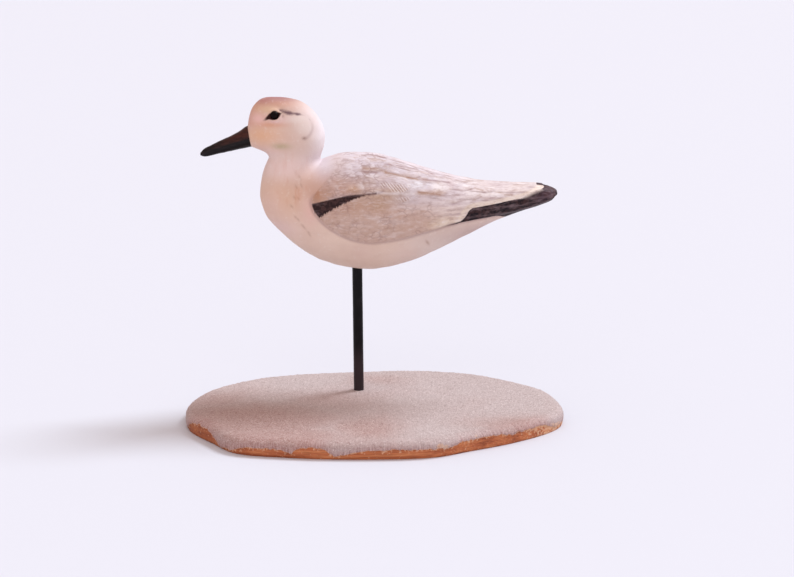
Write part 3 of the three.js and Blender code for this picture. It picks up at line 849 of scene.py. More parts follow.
# The folded wings end in two low tips side by side over the tail, with a groove between them.
from_middle = np.abs(smooth[:, :, 1] - bird_y)
on_top = smoothstep(row_of, 0.75, 0.45)
tips = bell(from_middle - 6.2, 3.0) * smoothstep(side_x, 88.0, 101.0)
relief += 0.25 * tips * (1.0 - smoothstep(side_x, 107.0, 108.6)) * on_top
groove = bell(from_middle, 1.7) * smoothstep(side_x, 55.0, 75.0)
relief -= 0.8 * groove * (1.0 - smoothstep(side_x, 107.0, 109.0)) * on_top

# The head. The lid stands up in a ring round each eye, with a hollow for the ball inside it, and
# a shallow groove runs from behind the eye down round the cheek.
eye_x = -58.9
eye_z = 187.8
eye_radius = 2.75
cheek_line = smooth_line([
    (-55.6, 191.0), (-53.1, 190.2), (-51.3, 189.5), (-49.2, 189.1), (-46.5, 188.8), (-43.3, 188.1),
    (-40.3, 187.0), (-37.2, 184.4), (-35.9, 181.0), (-36.3, 177.8), (-38.0, 175.2), (-40.6, 173.3),
], 5)
from_eye = np.hypot(side_x - eye_x, side_z - eye_z)
on_head_side = smoothstep(from_middle, 6.0, 9.0)
from_cheek = np.abs(over(cheek_line, side_x, side_z))
lid = 0.45 * bell(from_eye - 3.2, 0.75) - 1.3 * smoothstep(-from_eye, -2.6, -2.0)
socket = -0.35 * bell(from_eye - 5.2, 1.6)
cheek_groove = -0.14 * bell(from_cheek, 1.3) * smoothstep(side_x, -57.0, -52.0)
relief += (lid + socket + cheek_groove) * on_head_side
bird_points = smooth + normals * relief[:, :, None]


def blob(x, z, reach_x, reach_z, lean=0.0):
    """A soft patch in the side view, 1 in the middle, that may lean along the bird."""
    off_x = side_x - x + (side_z - z) * lean
    return np.exp(-((off_x / reach_x) ** 2) - ((side_z - z) / reach_z) ** 2)


# The washes of paint, laid one over another on a plain ground
paint = np.ones(carved_grid + (4,)) * colour(213, 194, 186)


def lay_paint(tint, share):
    """Covers what is painted so far with a tint, by a share at each point."""
    share = np.clip(share, 0.0, 1.0)[:, :, None]
    paint[:] = paint * (1.0 - share) + np.array(tint) * share


def lay_washes(washes, where):
    """Soft washes, each with its colour, its place and reach in the side view, and strength."""
    for tint, x, z, reach_x, reach_z, strength in washes:
        lay_paint(colour(*tint), where * blob(x, z, reach_x, reach_z) * strength)


low_down = 1.0 - smoothstep(side_z, 112.0, 132.0)
lay_paint(colour(225, 202, 187), low_down)
lay_paint(colour(222, 205, 196), smoothstep(side_x, 4.0, 34.0) * low_down)
lay_paint(colour(218, 199, 190), smoothstep(side_z, 120.0, 160.0) * smoothstep(-side_x, 10.0, 30.0))
lay_washes([
    ((218, 184, 160), -66.0, 132.0, 17.0, 20.0, 0.95), ((226, 196, 180), -48.0, 124.0, 16.0, 18.0, 0.7),
    ((218, 178, 150), -54.0, 141.0, 14.0, 15.0, 0.6), ((230, 206, 192), -34.0, 117.0, 16.0, 12.0, 0.7),
    # The lavender wash at x -59 and z 118, low on the breast front, is painted reflected light along
    # the breast's lower edge
    ((232, 194, 184), -38.0, 131.0, 5.0, 9.0, 0.8), ((226, 200, 200), -59.0, 118.0, 12.0, 6.0, 0.5),
    ((196, 154, 134), -36.5, 143.0, 4.0, 5.0, 0.5), ((236, 213, 210), -52.0, 156.0, 22.0, 8.0, 0.8),
    ((206, 168, 150), -32.0, 146.0, 13.0, 9.0, 0.85), ((240, 236, 242), -29.0, 178.0, 8.0, 20.0, 1.0),
    ((226, 216, 222), -31.0, 160.0, 9.0, 6.0, 0.8), ((206, 178, 176), -27.5, 152.5, 7.0, 4.5, 0.7),
    ((221, 194, 182), -52.0, 176.0, 16.0, 12.0, 0.7), ((222, 191, 186), -66.0, 167.0, 12.0, 5.0, 0.6),
    ((228, 180, 144), -68.0, 175.5, 14.0, 8.0, 0.85), ((206, 154, 132), -72.0, 191.0, 10.0, 8.0, 0.9),
    ((206, 148, 122), -57.0, 194.4, 13.0, 3.2, 0.7), ((224, 186, 174), -67.0, 187.4, 6.0, 3.6, 0.7),
    ((212, 152, 122), -63.0, 182.4, 12.0, 1.7, 0.6), ((226, 184, 182), -58.8, 184.0, 4.0, 0.9, 0.5),
    ((222, 192, 160), -62.5, 191.2, 8.5, 2.8, 0.75), ((236, 194, 188), -69.0, 185.6, 4.0, 3.0, 0.8),
    ((232, 192, 190), -53.0, 185.6, 5.0, 2.4, 0.5), ((206, 156, 148), -75.5, 184.0, 3.0, 5.0, 0.6),
    ((160, 112, 116), -55.0, 198.0, 20.0, 2.8, 0.95), ((166, 112, 108), -67.0, 196.6, 6.0, 2.6, 0.7),
    ((232, 218, 220), -36.0, 188.0, 8.0, 9.0, 0.6), ((206, 174, 164), -50.0, 191.6, 9.0, 2.4, 0.5),
    ((236, 226, 220), -46.0, 185.4, 7.0, 2.0, 0.6), ((178, 166, 130), -55.0, 169.1, 5.8, 2.0, 0.7),
    ((234, 224, 218), -41.0, 181.0, 6.0, 4.5, 0.5), ((186, 156, 152), 74.0, 112.0, 28.0, 7.0, 0.7),
    ((232, 210, 200), 20.0, 101.0, 12.0, 8.0, 0.6), ((218, 190, 180), -7.0, 104.0, 9.0, 8.0, 0.4),
    ((226, 200, 196), -63.0, 133.0, 8.0, 10.0, 0.4),
], 1.0)
under_edge = bell(over_wing + 3.0, 2.4) * smoothstep(side_x, 56.0, 70.0)
lay_paint(colour(222, 200, 192), under_edge * (1.0 - smoothstep(side_x, 84.0, 100.0)) * 0.5)

upper = 1.0 - smoothstep(row_of, 0.5, 0.72)
lay_paint(colour(199, 171, 158), on_wing)
lay_paint(colour(206, 197, 206), on_wing * upper * smoothstep(side_x, -34.0, -12.0))
lay_paint(colour(206, 198, 206), on_wing * upper * smoothstep(side_x, -2.0, 25.0) * 0.8)
lay_paint(colour(230, 221, 221), on_wing * smoothstep(side_x, 46.0, 70.0) * 0.8)
# A paler, cooler wash along the ridge of the back: painted highlight, where the light from above falls
ridge_highlight = on_wing * smoothstep(row_of, 0.3, 0.05) * smoothstep(side_x, -34.0, -22.0)
lay_paint(colour(240, 237, 248), ridge_highlight * (1.0 - smoothstep(side_x, 52.0, 66.0)) * 0.5)
lay_washes([
    # The rusty brown washes at x -34 and -19, and the narrow one at x -33.6, are painted shade along
    # the wing's front edge above the black wedge
    ((186, 142, 116), -34.0, 141.0, 8.0, 7.0, 0.75), ((188, 144, 120), -19.0, 145.0, 14.0, 5.0, 0.8),
    ((190, 160, 148), -11.0, 147.5, 17.0, 4.5, 0.6), ((202, 174, 168), -28.0, 150.0, 9.0, 6.0, 0.7),
    ((186, 176, 180), 11.0, 156.5, 7.0, 3.0, 0.5), ((222, 208, 212), 42.4, 136.4, 5.0, 2.6, 0.4),
    ((236, 222, 214), 51.0, 127.6, 4.0, 2.6, 0.5), ((198, 176, 172), 6.0, 150.5, 6.0, 2.4, 0.6),
    ((190, 154, 130), 7.0, 142.0, 13.0, 3.6, 0.6), ((188, 151, 126), -8.0, 136.0, 17.0, 5.5, 0.65),
    ((184, 152, 132), 9.0, 137.0, 8.0, 3.0, 0.6), ((208, 166, 128), -10.9, 144.4, 3.6, 2.0, 0.7),
    ((240, 226, 218), 46.0, 130.8, 9.0, 3.4, 0.9), ((178, 140, 122), -17.0, 133.0, 7.0, 3.0, 0.4),
    ((178, 128, 100), -33.6, 141.4, 1.8, 5.0, 0.6), ((236, 238, 246), 28.0, 146.0, 4.5, 3.2, 0.85),
    ((196, 170, 142), 5.0, 141.0, 14.0, 3.0, 0.5), ((226, 200, 190), 31.0, 140.0, 4.0, 3.0, 0.3),
    ((214, 186, 170), 43.0, 141.0, 4.0, 2.0, 0.4), ((234, 227, 232), 56.0, 135.0, 25.0, 5.0, 0.75),
    ((226, 210, 204), 46.0, 128.5, 12.0, 4.0, 0.7), ((238, 236, 238), 43.0, 143.6, 4.0, 2.6, 0.9),
    ((186, 148, 120), 37.0, 140.6, 6.0, 1.3, 0.5), ((212, 194, 196), 48.0, 145.0, 4.0, 3.0, 0.7),
    ((206, 190, 194), 77.0, 142.6, 11.0, 1.6, 0.6), ((204, 182, 170), 6.0, 119.0, 26.0, 7.0, 0.35),
    ((182, 146, 112), 5.0, 134.0, 6.0, 3.0, 0.45), ((222, 198, 170), 43.0, 120.5, 8.0, 3.2, 0.8),
    ((242, 230, 228), 88.0, 138.6, 8.0, 2.4, 0.5),
], on_wing)
# A pale lavender patch where the hindneck meets the back: painted highlight
lay_paint(colour(226, 222, 232), blob(-28.0, 156.6, 8.0, 4.5) * 0.6)
strokes = 0.6 + 0.5 * waves(52, 30, 4.0, 16.0)(smooth * [0.5, 1.0, 1.0])
lay_paint(colour(178, 138, 112), on_wing * buff * strokes * 0.8 * faded_in)
lay_paint(colour(244, 240, 242), on_wing * white_end * strokes * 0.7)
lay_paint(colour(238, 232, 232), on_wing * pale_rim * strokes * 0.6 * faded_in)
lay_paint(colour(142, 114, 114), on_wing * dark_line * (0.4 + 0.7 * strokes) * faded_in)


def stroke(start, end, width):
    """A soft stroke of the brush between two places on the wings, given as x and row."""
    laid = np.zeros(carved_grid)
    for side in (-1, 1):
        line = []
        for t in np.linspace(0.0, 1.0, 5):
            x, row = (a + (b - a) * t for a, b in zip(start, end))
            line.append(place_at(side, row, x))
        for a, b in zip(line, line[1:]):
            run = b - a
            t = np.clip((smooth - a) @ run / (run @ run), 0.0, 1.0)
            away = np.linalg.norm(smooth - a - run * t[:, :, None], axis=2)
            laid = np.maximum(laid, np.exp(-((away / width) ** 2)))
    return laid


# Strokes of three paints, from one place to another, with half width and strength
umber = colour(158, 122, 98)
mauve = colour(146, 116, 120)
chalk = colour(236, 230, 232)
brush_strokes = [
    (mauve, (-2.9, 0.05), (7.6, 0.09), 0.8, 0.9), (umber, (-2.0, 0.16), (8.3, 0.16), 0.9, 0.6),
    (mauve, (9.5, 0.10), (20.0, 0.07), 0.7, 0.6), (mauve, (20.0, 0.07), (27.6, 0.13), 0.7, 0.6),
    (mauve, (8.3, 0.22), (28.2, 0.16), 0.8, 0.8), (umber, (8.6, 0.33), (28.0, 0.35), 1.1, 0.8),
    (mauve, (29.2, 0.34), (47.3, 0.33), 0.8, 0.8), (umber, (-4.7, 0.30), (8.6, 0.31), 1.6, 0.6),
    (mauve, (31.0, 0.12), (37.0, 0.17), 0.6, 0.7), (mauve, (37.0, 0.17), (44.0, 0.13), 0.6, 0.6),
    (umber, (-4.1, 0.40), (0.5, 0.42), 1.0, 0.5), (umber, (-4.9, 0.46), (2.0, 0.45), 0.8, 0.5),
    (chalk, (2.8, 0.54), (28.7, 0.54), 0.8, 0.6), (umber, (28.6, 0.52), (41.6, 0.55), 1.0, 0.85),
    (chalk, (39.0, 0.43), (43.6, 0.42), 2.2, 0.9), (mauve, (38.6, 0.60), (42.4, 0.63), 0.7, 0.3),
    (mauve, (50.0, 0.68), (57.0, 0.65), 0.8, 0.4), (mauve, (45.4, 0.57), (53.2, 0.56), 0.9, 0.5),
    (mauve, (45.1, 0.67), (50.0, 0.68), 0.8, 0.4), (chalk, (-4.2, 0.75), (4.8, 0.79), 0.9, 0.25),
    (chalk, (4.8, 0.79), (19.2, 0.73), 0.9, 0.25), (chalk, (15.7, 0.67), (35.4, 0.73), 0.8, 0.3),
    (mauve, (40.7, 0.84), (54.7, 0.86), 0.7, 0.5), (chalk, (-12.7, 0.84), (0.2, 0.85), 0.8, 0.2),
    (chalk, (4.7, 0.84), (15.5, 0.79), 0.8, 0.2), (umber, (63.4, 0.40), (68.3, 0.45), 0.6, 0.7),
    (umber, (75.7, 0.48), (80.6, 0.50), 0.6, 0.7), (umber, (81.8, 0.54), (86.2, 0.54), 0.6, 0.6),
    (umber, (87.5, 0.22), (90.5, 0.20), 0.6, 0.6), (chalk, (59.5, 0.55), (63.0, 0.55), 2.0, 0.7),
    (chalk, (72.0, 0.53), (76.0, 0.53), 1.8, 0.7),
]
for tint, start, end, width, strength in brush_strokes:
    lay_paint(tint, stroke(start, end, width) * on_wing * strength)
cream = smoothstep(over_tertials, -0.6, 0.1) * (1.0 - smoothstep(over_tertials, 2.6, 4.2))
cream = np.maximum(cream * smoothstep(side_x, 44.0, 50.0), blob(46.0, 121.5, 7.0, 4.5)) * on_wing
lay_paint(colour(234, 220, 204), cream * 0.9)
lay_paint(colour(246, 234, 222), cream * smoothstep(side_x, 74.0, 90.0))
edge_shade = bell(over_wing + 0.9, 0.9) * smoothstep(side_z, 144.0, 136.0)
lay_paint(colour(156, 126, 126), edge_shade * 0.5)
# A darker line right at the wing's lower edge near the flight feathers: painted shade under the step
lay_paint(colour(96, 74, 78), bell(over_wing - 0.1, 0.7) * bell(side_x - 50.0, 5.0))

# Flecks on the breast and one behind the belly: place, half width, half length and strength
flecks = [
    (-46.5, 153.0, 0.6, 1.4, 0.2), (-44.0, 150.4, 0.7, 1.7, 0.3), (-46.4, 145.2, 0.7, 1.2, 0.4),
    (-43.3, 146.2, 0.6, 1.5, 0.35), (-47.6, 138.8, 0.9, 1.0, 0.35), (-45.1, 138.4, 0.6, 0.9, 0.4),
    (-49.5, 133.3, 0.8, 1.1, 0.35), (-47.2, 126.4, 0.8, 1.0, 0.35), (-45.6, 124.8, 0.6, 1.0, 0.4),
    (-43.0, 121.0, 0.8, 1.1, 0.4), (-41.6, 119.4, 0.6, 0.9, 0.35), (-39.4, 116.6, 0.8, 1.1, 0.4),
    (-38.6, 114.6, 0.7, 0.8, 0.35), (34.2, 108.7, 0.9, 1.8, 0.5),
]
for x, z, wide, long, strength in flecks:
    lay_paint(colour(150, 108, 88), blob(x, z, wide, long, 0.45) * on_head_side * strength)

# The black paint, as a distance in from its edge: the wedge on the shoulder, the long flight
# feathers with the ends of the wings and the tail, the corners of the eye and the line behind it
wedge_top = smooth_line([
    (-38.0, 135.2), (-31.7, 136.7), (-25.5, 138.3), (-19.4, 139.8), (-11.4, 141.1), (3.2, 141.9),
], 4)
wedge_bottom = smooth_line([
    (-34.0, 126.3), (-32.9, 127.3), (-31.0, 128.0), (-29.0, 129.1), (-26.3, 130.9), (-24.5, 132.2),
    (-20.3, 134.3), (-15.5, 136.7), (-11.0, 138.8), (-8.2, 139.6), (-2.6, 141.0), (3.8, 141.8),
], 4)
unpainted = -9.0
feathery = 0.3 + 0.15 * waves(53, 24, 1.6, 4.0)(smooth)
from_top = -over(wedge_top, side_x, side_z)
from_bottom = over(wedge_bottom, side_x, side_z)
bristly = 0.4 + 2.4 * smoothstep(from_top - from_bottom, -0.6, 0.6) * smoothstep(side_x, -4.0, -14.0)
wedge = np.minimum(np.minimum(from_top, from_bottom + feathery), over_wing)
stem = 0.5 - np.abs(over([(-12.0, 140.4), (-6.0, 140.9), (3.4, 141.8)], side_x, side_z))
wedge = np.maximum(wedge, np.where(side_x > -12.0, stem, unpainted))
wedge = np.where(side_x < 3.4, wedge, unpainted)
over_bottom = over_wing + 0.5 + 4.6 * smoothstep(side_x, 74.0, 90.0)
flight = np.minimum(over_bottom, -over(black_edge, side_x, side_z))
flight = np.where(side_x > 44.0, flight, unpainted)
near_tip = bird_y - 5.6 + 0.5 * (side_x - 102.0)
tail_end = side_x - 106.8 + 4.6 * smoothstep(smooth[:, :, 1], near_tip, near_tip + 2.0)
feather_black = np.maximum(np.maximum(wedge, flight), tail_end)

eye_outline = [
    (-67.0, 184.0), (-62.6, 185.5), (-60.0, 185.0), (-57.5, 185.6), (-55.8, 187.0), (-54.4, 189.4),
    (-57.8, 189.9), (-60.2, 189.9), (-62.4, 188.7), (-64.7, 186.5), (-67.0, 184.0),
]
near_eye = (on_head_side > 0.5) & (from_eye < 8.5) & (side_z < 191.5)
eye_black = over(eye_outline, side_x, side_z)
eye_black = np.minimum(eye_black, 0.5 - 0.7 * smoothstep(side_x, -62.8, -66.4))
eye_black = np.where(near_eye, eye_black, unpainted)
stripe_width = 1.0 - 0.5 * smoothstep(-side_x, 51.0, 53.5) - 0.5 * smoothstep(side_x, -50.0, -46.0)
stripe_width -= 1.1 * smoothstep(side_x, -45.0, -40.5)
stripe_width += 0.2 * waves(54, 12, 2.0, 5.0)(smooth)
behind_eye = (on_head_side > 0.5) & (side_z > 182.0) & (side_x > -56.5)
stripe = np.where(behind_eye, stripe_width - from_cheek, unpainted)
round_cheek = smoothstep(side_x, -44.0, -38.0) * smoothstep(-side_z, -188.0, -176.0)
lay_paint(colour(150, 124, 124), bell(from_cheek, 0.9) * round_cheek * on_head_side * 0.34)
lay_washes([
    ((120, 88, 80), -40.9, 174.0, 1.3, 0.8, 0.7), ((140, 108, 110), -53.8, 187.7, 0.7, 1.1, 0.5),
], on_head_side)
lay_paint(colour(150, 122, 116), blob(-54.6, 191.3, 1.6, 0.5, 0.5) * on_head_side * 0.5)

# What the feathers' finish needs to know at each point of the bird
curled = smoothstep(row_of, 0.72, 0.55) * (1.0 - 0.75 * smoothstep(side_x, -4.0, 20.0))
curled += 0.75 * smoothstep(row_of, 0.55, 0.72) * (1.0 - smoothstep(side_x, 34.0, 46.0))
in_front = smoothstep(side_x, 20.0, 6.0)
bird_mesh = skin_mesh("carved_bird", bird_points)
note(
    bird_mesh,
    black=feather_black,
    eye_black=eye_black,
    stripe=stripe,
    streaks=dark_line,
    along=along_feather,
    across=across_feather,
    bristly=bristly,
    wing=on_wing,
    upper=(0.4 + 0.6 * upper) * on_wing * faded_in,
    curled=on_wing * faded_in * curled,
    barbed=barbed * on_wing * faded_in,
    rear=on_wing * smoothstep(side_x, 28.0, 50.0) * smoothstep(row_of, 0.05, 0.3),
    breast=blob(-48.0, 146.0, 10.0, 14.0) * (1.0 - on_wing),
    wedge=in_front,
    stem=smoothstep(side_x, -12.0, 1.0) * (side_x < 20.0),
    soft=0.65 * in_front + 0.9 * smoothstep(side_x, 82.0, 96.0) * (side_z < 139.6),
    tail_end=smoothstep(side_x, 97.0, 109.0) * 0.7 * smoothstep(over_wing, -0.5, 5.0),
)
tints = np.concatenate([paint.reshape(-1, 4), paint[0].mean(0)[None], paint[-1].mean(0)[None]])
bird_mesh.attributes.new("paint", "FLOAT_COLOR", "POINT").data.foreach_set("color", tints.ravel())

feathers = Finish("painted_feathers")
along = feathers.attribute("along")
across = feathers.attribute("across")
cloudy = feathers.noise(70.0, 4.0, 0.55)
specks = feathers.noise(420.0, 3.0, 0.6)
mottle = feathers.streaks((130.0, 260.0, 320.0), 4.0, 0.65)
wing_part = feathers.attribute("wing")
coat = feathers.attribute("paint", "Color")
coat = feathers.glaze(coat, colour(180, 140, 118), cloudy, 0.3, 0.7, 0.12)
coat = feathers.glaze(coat, colour(240, 234, 230), specks, 0.55, 0.75, 0.2)
coat = feathers.glaze(coat, colour(172, 142, 126), mottle, 0.5, 0.68, 0.45, wing_part)
coat = feathers.glaze(coat, colour(226, 214, 212), mottle, 0.48, 0.32, 0.35, wing_part)

# The marks of the brush: along each feather, fine ones at the rear and smears on the breast
on_feather = feathers.node("CombineXYZ", {"X": along, "Y": across}).outputs[0]
drawn_out = feathers.node("Mapping", {"Vector": on_feather, "Scale": (0.22, 1.0, 1.0)}).outputs[0]
brushed = feathers.noise(1.0, 4.0, 0.6, drawn_out)
upper_part = feathers.attribute("upper")
coat = feathers.glaze(coat, colour(164, 142, 138), brushed, 0.5, 0.66, 0.28, upper_part)
coat = feathers.glaze(coat, colour(244, 240, 243), brushed, 0.5, 0.34, 0.28, upper_part)
fine = feathers.streaks((110.0, 260.0, 640.0), 3.0, 0.6)
rear_part = feathers.attribute("rear")
coat = feathers.glaze(coat, colour(178, 154, 158), fine, 0.52, 0.68, 0.5, rear_part)
coat = feathers.glaze(coat, colour(244, 236, 234), fine, 0.48, 0.34, 0.4, rear_part)
smears = feathers.streaks((260.0, 160.0, 60.0), 3.0, 0.5)
breast_part = feathers.attribute("breast")
coat = feathers.glaze(coat, colour(204, 146, 116), smears, 0.5, 0.7, 0.45, breast_part)

# Curled lines on the wing, and barbs that run across a few of the feathers
wander = feathers.node("TexNoise", {"Vector": feathers.place, "Scale": 260.0, "Detail": 2.0})
wander = feathers.node("VectorMath", {0: wander.outputs["Color"], 1: (0.5, 0.5, 0.5)},
                       operation="SUBTRACT")
curl_place = feathers.stretched(230.0, 300.0, 340.0)
curl_place = feathers.node("VectorMath", {0: wander.outputs[0], 1: (0.9, 0.9, 0.9), 2: curl_place},
                           operation="MULTIPLY_ADD")
curls = feathers.node("TexVoronoi", {"Vector": curl_place.outputs[0], "Scale": 1.0},
                      feature="DISTANCE_TO_EDGE").outputs["Distance"]
broken = feathers.spread(feathers.noise(120.0, 2.0), 0.4, 0.62)
curl_line = feathers.times(feathers.spread(curls, 0.16, 0.02), broken)
curl_line = feathers.times(curl_line, feathers.attribute("curled"))
coat = feathers.mix(feathers.times(curl_line, 0.5), coat, colour(150, 120, 116))
barb_gap = 2.0
barb_phase = feathers.maths("SUBTRACT", along, feathers.times(across, 0.8))
barb_phase = feathers.times(barb_phase, 2.0 * math.pi / barb_gap)
barb_phase = feathers.plus(barb_phase, feathers.times(specks, 3.0))
barb_strength = feathers.spread(feathers.noise(130.0, 3.0, 0.5), 0.35, 0.6)
barb_strength = feathers.times(feathers.attribute("barbed"), barb_strength)
barbs = feathers.times(feathers.maths("SINE", barb_phase), barb_strength)
coat = feathers.glaze(coat, colour(168, 130, 108), barbs, 0.1, 0.7, 0.45)
coat = feathers.glaze(coat, colour(236, 226, 220), barbs, -0.1, -0.7, 0.45)

# The black, with the bristles' ragged edge on the wedge and lighter streaks on the long feathers,
# partly rubbed paint and partly painted sheen
bristles = feathers.streaks((1700.0, 300.0, 300.0), 2.0, 0.5)
ragged = feathers.times(feathers.maths("SUBTRACT", bristles, 0.5), feathers.attribute("bristly"))
hardness = feathers.maths("SUBTRACT", 1.0, feathers.attribute("soft"))
from_edge = feathers.times(hardness, feathers.plus(feathers.attribute("black"), ragged))
is_black = feathers.spread(from_edge, -0.15, 0.2)
is_eye_black = feathers.spread(feathers.attribute("eye_black"), -0.35, 0.45)
smudge = feathers.times(feathers.maths("SUBTRACT", feathers.noise(380.0, 3.0, 0.6), 0.5), 1.2)
smudged = feathers.plus(feathers.attribute("stripe"), smudge)
worn_and_sheen_streaks = feathers.streaks((60.0, 700.0, 500.0), 4.0, 0.6)
rubbed_and_sheen = feathers.spread(worn_and_sheen_streaks, 0.47, 0.71, 0.0, 0.67)
rubbed_and_sheen = feathers.plus(rubbed_and_sheen, feathers.times(feathers.attribute("streaks"), 0.7))
stem_part = feathers.times(feathers.attribute("stem"), 0.7)
# Towards the tail's end the black is painted lighter and purpler: painted light, where light from above
# and behind falls on it
tail_end_light = feathers.attribute("tail_end")
black_paint = feathers.mix(feathers.attribute("wedge"), colour(22, 13, 20), colour(42, 25, 26))
black_paint = feathers.mix(stem_part, black_paint, colour(122, 86, 70))
black_paint = feathers.mix(tail_end_light, black_paint, colour(70, 50, 62))
black_paint = feathers.glaze(black_paint, colour(84, 58, 56), specks, 0.42, 0.62, 0.5)
rubbed_and_sheen_tone = feathers.mix(tail_end_light, colour(108, 91, 94), colour(120, 100, 112))
coat = feathers.glaze(coat, colour(84, 52, 70), smudged, -0.9, 0.8, 0.85)
coat = feathers.mix(is_black, coat, feathers.mix(rubbed_and_sheen, black_paint, rubbed_and_sheen_tone))
coat = feathers.mix(is_eye_black, coat, colour(44, 14, 12))
all_black = feathers.maths("MAXIMUM", is_black, is_eye_black)
brush_relief = feathers.bump(brushed, 0.00015, feathers.bump(specks, 0.00012))
feathers.set(
    Base_Color=coat,
    Roughness=feathers.spread(all_black, 0.0, 1.0, 0.62, 0.5),
    Specular_IOR_Level=0.14,
    Normal=feathers.bump(barbs, 0.00012, brush_relief),
)
put_in_place("carved_bird", bird_mesh, feathers.material, "bird_body")


# Bill. It is carved to a long tapered point, set into the head and painted satin black. A fine
# groove between the two halves runs from its base, with a slit of a nostril above it.
bill_seat = 2.6
bill_ribs = [
    (-76.2 + bill_seat, 178.8, -73.9 + bill_seat, 167.4, 5.0, 0.5, 2.0),
    (-76.2, 179.8, -73.9, 166.8, 5.6, 0.5, 2.0), (-81.0, 176.8, -81.0, 165.3, 4.9, 0.5, 2.0),
    (-87.3, 173.4, -87.3, 164.0, 4.1, 0.5, 2.0), (-93.5, 170.7, -93.5, 162.7, 3.5, 0.5, 2.0),
    (-99.7, 167.7, -99.7, 161.3, 2.8, 0.5, 2.0), (-103.6, 165.6, -103.6, 160.8, 2.1, 0.5, 2.0),
    (-105.8, 163.3, -105.8, 161.6, 0.8, 0.5, 2.0),
]
gape = smooth_line([(-104.0, 162.6), (-93.5, 166.1), (-84.0, 169.4), (-74.0, 172.0)], 6)
nostril = [(-86.5, 170.9), (-80.5, 173.6)]
bill_sides = 96
bill_rows = 150
bill_turns = 2.0 * math.pi * np.linspace(0.0, 1.0, bill_sides, endpoint=False)
bill_smooth = rings_of(ribs_between(bill_ribs, np.linspace(0.0, 1.0, bill_rows)), bill_turns)
bill_x, bill_z = bill_smooth[:, :, 0], bill_smooth[:, :, 2]
over_gape = over(gape, bill_x, bill_z)
bill_cut = 0.28 * bell(over_gape, 0.3) * smoothstep(bill_x, -104.0, -98.0)
bill_cut += 0.45 * bell(over(nostril, bill_x, bill_z), 0.45)
bill_cut += 0.05 * (waves(61, 30, 3.0, 11.0)(bill_smooth) + 1.0)
bill_points = bill_smooth - normals_of(bill_smooth) * bill_cut[:, :, None]
bill_mesh = skin_mesh("carved_bill", bill_points)
note(bill_mesh, worn_brown=smoothstep(bill_x, -104.0, -78.0) * smoothstep(over_gape, 0.2, 1.6))
bill_coat = Finish("black_bill_paint")
bill_streaks = bill_coat.streaks((120.0, 700.0, 700.0), 3.0, 0.5)
bill_black = bill_coat.glaze(colour(13, 8, 10), colour(30, 20, 24), bill_streaks, 0.45, 0.7, 1.0)
worn_streaks = bill_coat.spread(bill_streaks, 0.35, 0.6, 0.45, 1.0)
rubbed_through = bill_coat.times(bill_coat.attribute("worn_brown"), worn_streaks)
bill_coat.set(
    Base_Color=bill_coat.mix(rubbed_through, bill_black, colour(66, 28, 20)),
    Roughness=bill_coat.spread(bill_coat.noise(220.0, 3.0), 0.3, 0.7, 0.3, 0.42),
    Normal=bill_coat.bump(bill_streaks, 0.0001),
    Specular_IOR_Level=0.2,
)
put_in_place("carved_bill", bill_mesh, bill_coat.material, "bill")


# Eyes. Two balls of dark glass, let into sockets behind the painted lids so that a shallow
# dome shows.
eye_sides = 48
eye_rows = 26
eye_finish = Finish("dark_glass")
iris = eye_finish.noise(900.0, 2.0)
eye_finish.set(
    Base_Color=eye_finish.glaze(colour(10, 7, 8), colour(26, 16, 13), iris, 0.4, 0.7, 1.0),
    Roughness=eye_finish.spread(iris, 0.3, 0.8, 0.38, 0.46),
    Specular_IOR_Level=0.06,
)
for name in ("eye_left", "eye_right"):
    eye_low, eye_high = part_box(name)
    centre = np.array((eye_low + eye_high) / 2.0) / MM
    eye_rings = []
    for tilt in np.linspace(-math.pi / 2.0, math.pi / 2.0, eye_rows)[1:-1]:
        circle = level_circle(eye_sides, math.cos(tilt), math.sin(tilt))
        eye_rings.append(centre + circle * eye_radius)
    put_in_place("glass_" + name, skin_mesh("glass_" + name, eye_rings), eye_finish.material,
                 name)


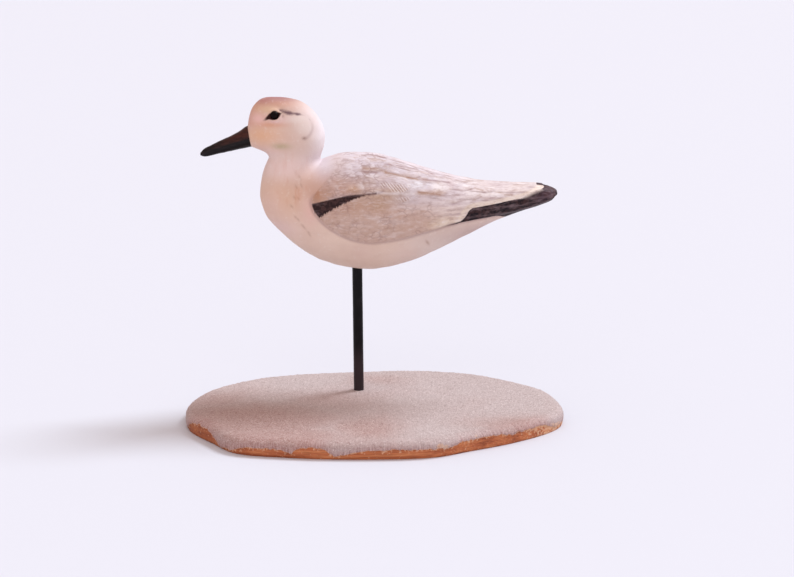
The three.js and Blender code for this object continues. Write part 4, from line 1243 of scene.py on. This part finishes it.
# Floor, backdrop, light and camera. A plain pale floor, a soft warm backdrop, and the camera
# where the picture was taken from, in millimetres.
floor_reach = 8.0
floor_mesh = bpy.data.meshes.new("studio_floor")
corners = [(x * floor_reach, y * floor_reach, 0.0) for x, y in ((-1, -1), (1, -1), (1, 1), (-1, 1))]
floor_mesh.from_pydata(corners, [], [(0, 1, 2, 3)])
floor = bpy.data.objects.new("studio_floor", floor_mesh)
bpy.context.scene.collection.objects.link(floor)
pale = Finish("pale_floor")
pale.set(Base_Color=colour(213, 217, 226), Roughness=0.8)
floor_mesh.materials.append(pale.material)

world = bpy.data.worlds.new("studio")
bpy.context.scene.world = world
world.use_nodes = True
backdrop = world.node_tree.nodes["Background"]
backdrop.inputs["Color"].default_value = (1.0, 0.84, 0.80, 1.0)
backdrop.inputs["Strength"].default_value = 0.76
bpy.context.scene.view_settings.view_transform = "Standard"

# Two suns, a key and a broad fill: strength, colour, spread and the way towards each one
for name, energy, tint, spread, way in (
        ("key", 2.3, (0.9, 0.97, 1.06), 20.0, (80.0, 46.0, 117.0)),
        ("fill", 0.45, (1.0, 0.93, 0.95), 70.0, (-15.0, -100.0, 40.0))):
    sun_data = bpy.data.lights.new(name, "SUN")
    sun_data.energy = energy
    sun_data.color = tint
    sun_data.angle = math.radians(spread)
    sun = bpy.data.objects.new(name, sun_data)
    bpy.context.scene.collection.objects.link(sun)
    sun.rotation_euler = Vector(way).to_track_quat("Z", "Y").to_euler()

camera_place = (4.045, -1439.207, 398.237)
camera_pitch = math.radians(12.3354)
camera_yaw = math.radians(0.4264)
camera_roll = math.radians(-0.5444)
camera_focal_pixels = 2408.555
photo_width = 794
camera_reach = 20.0
forward = Vector((math.sin(camera_yaw) * math.cos(camera_pitch),
                  math.cos(camera_yaw) * math.cos(camera_pitch), -math.sin(camera_pitch)))
level_right = Vector((math.cos(camera_yaw), -math.sin(camera_yaw), 0.0))
level_up = level_right.cross(forward)
right = level_right * math.cos(camera_roll) + level_up * math.sin(camera_roll)
up = level_up * math.cos(camera_roll) - level_right * math.sin(camera_roll)
camera_data = bpy.data.cameras.new("camera")
camera_data.sensor_width = 36.0
camera_data.lens = camera_focal_pixels / photo_width * camera_data.sensor_width
camera_data.clip_end = camera_reach
camera = bpy.data.objects.new("camera", camera_data)
bpy.context.scene.collection.objects.link(camera)
turn = Matrix((right, up, -forward)).transposed()
camera.matrix_world = Matrix.Translation(Vector(camera_place) * MM) @ turn.to_4x4()
bpy.context.scene.camera = camera
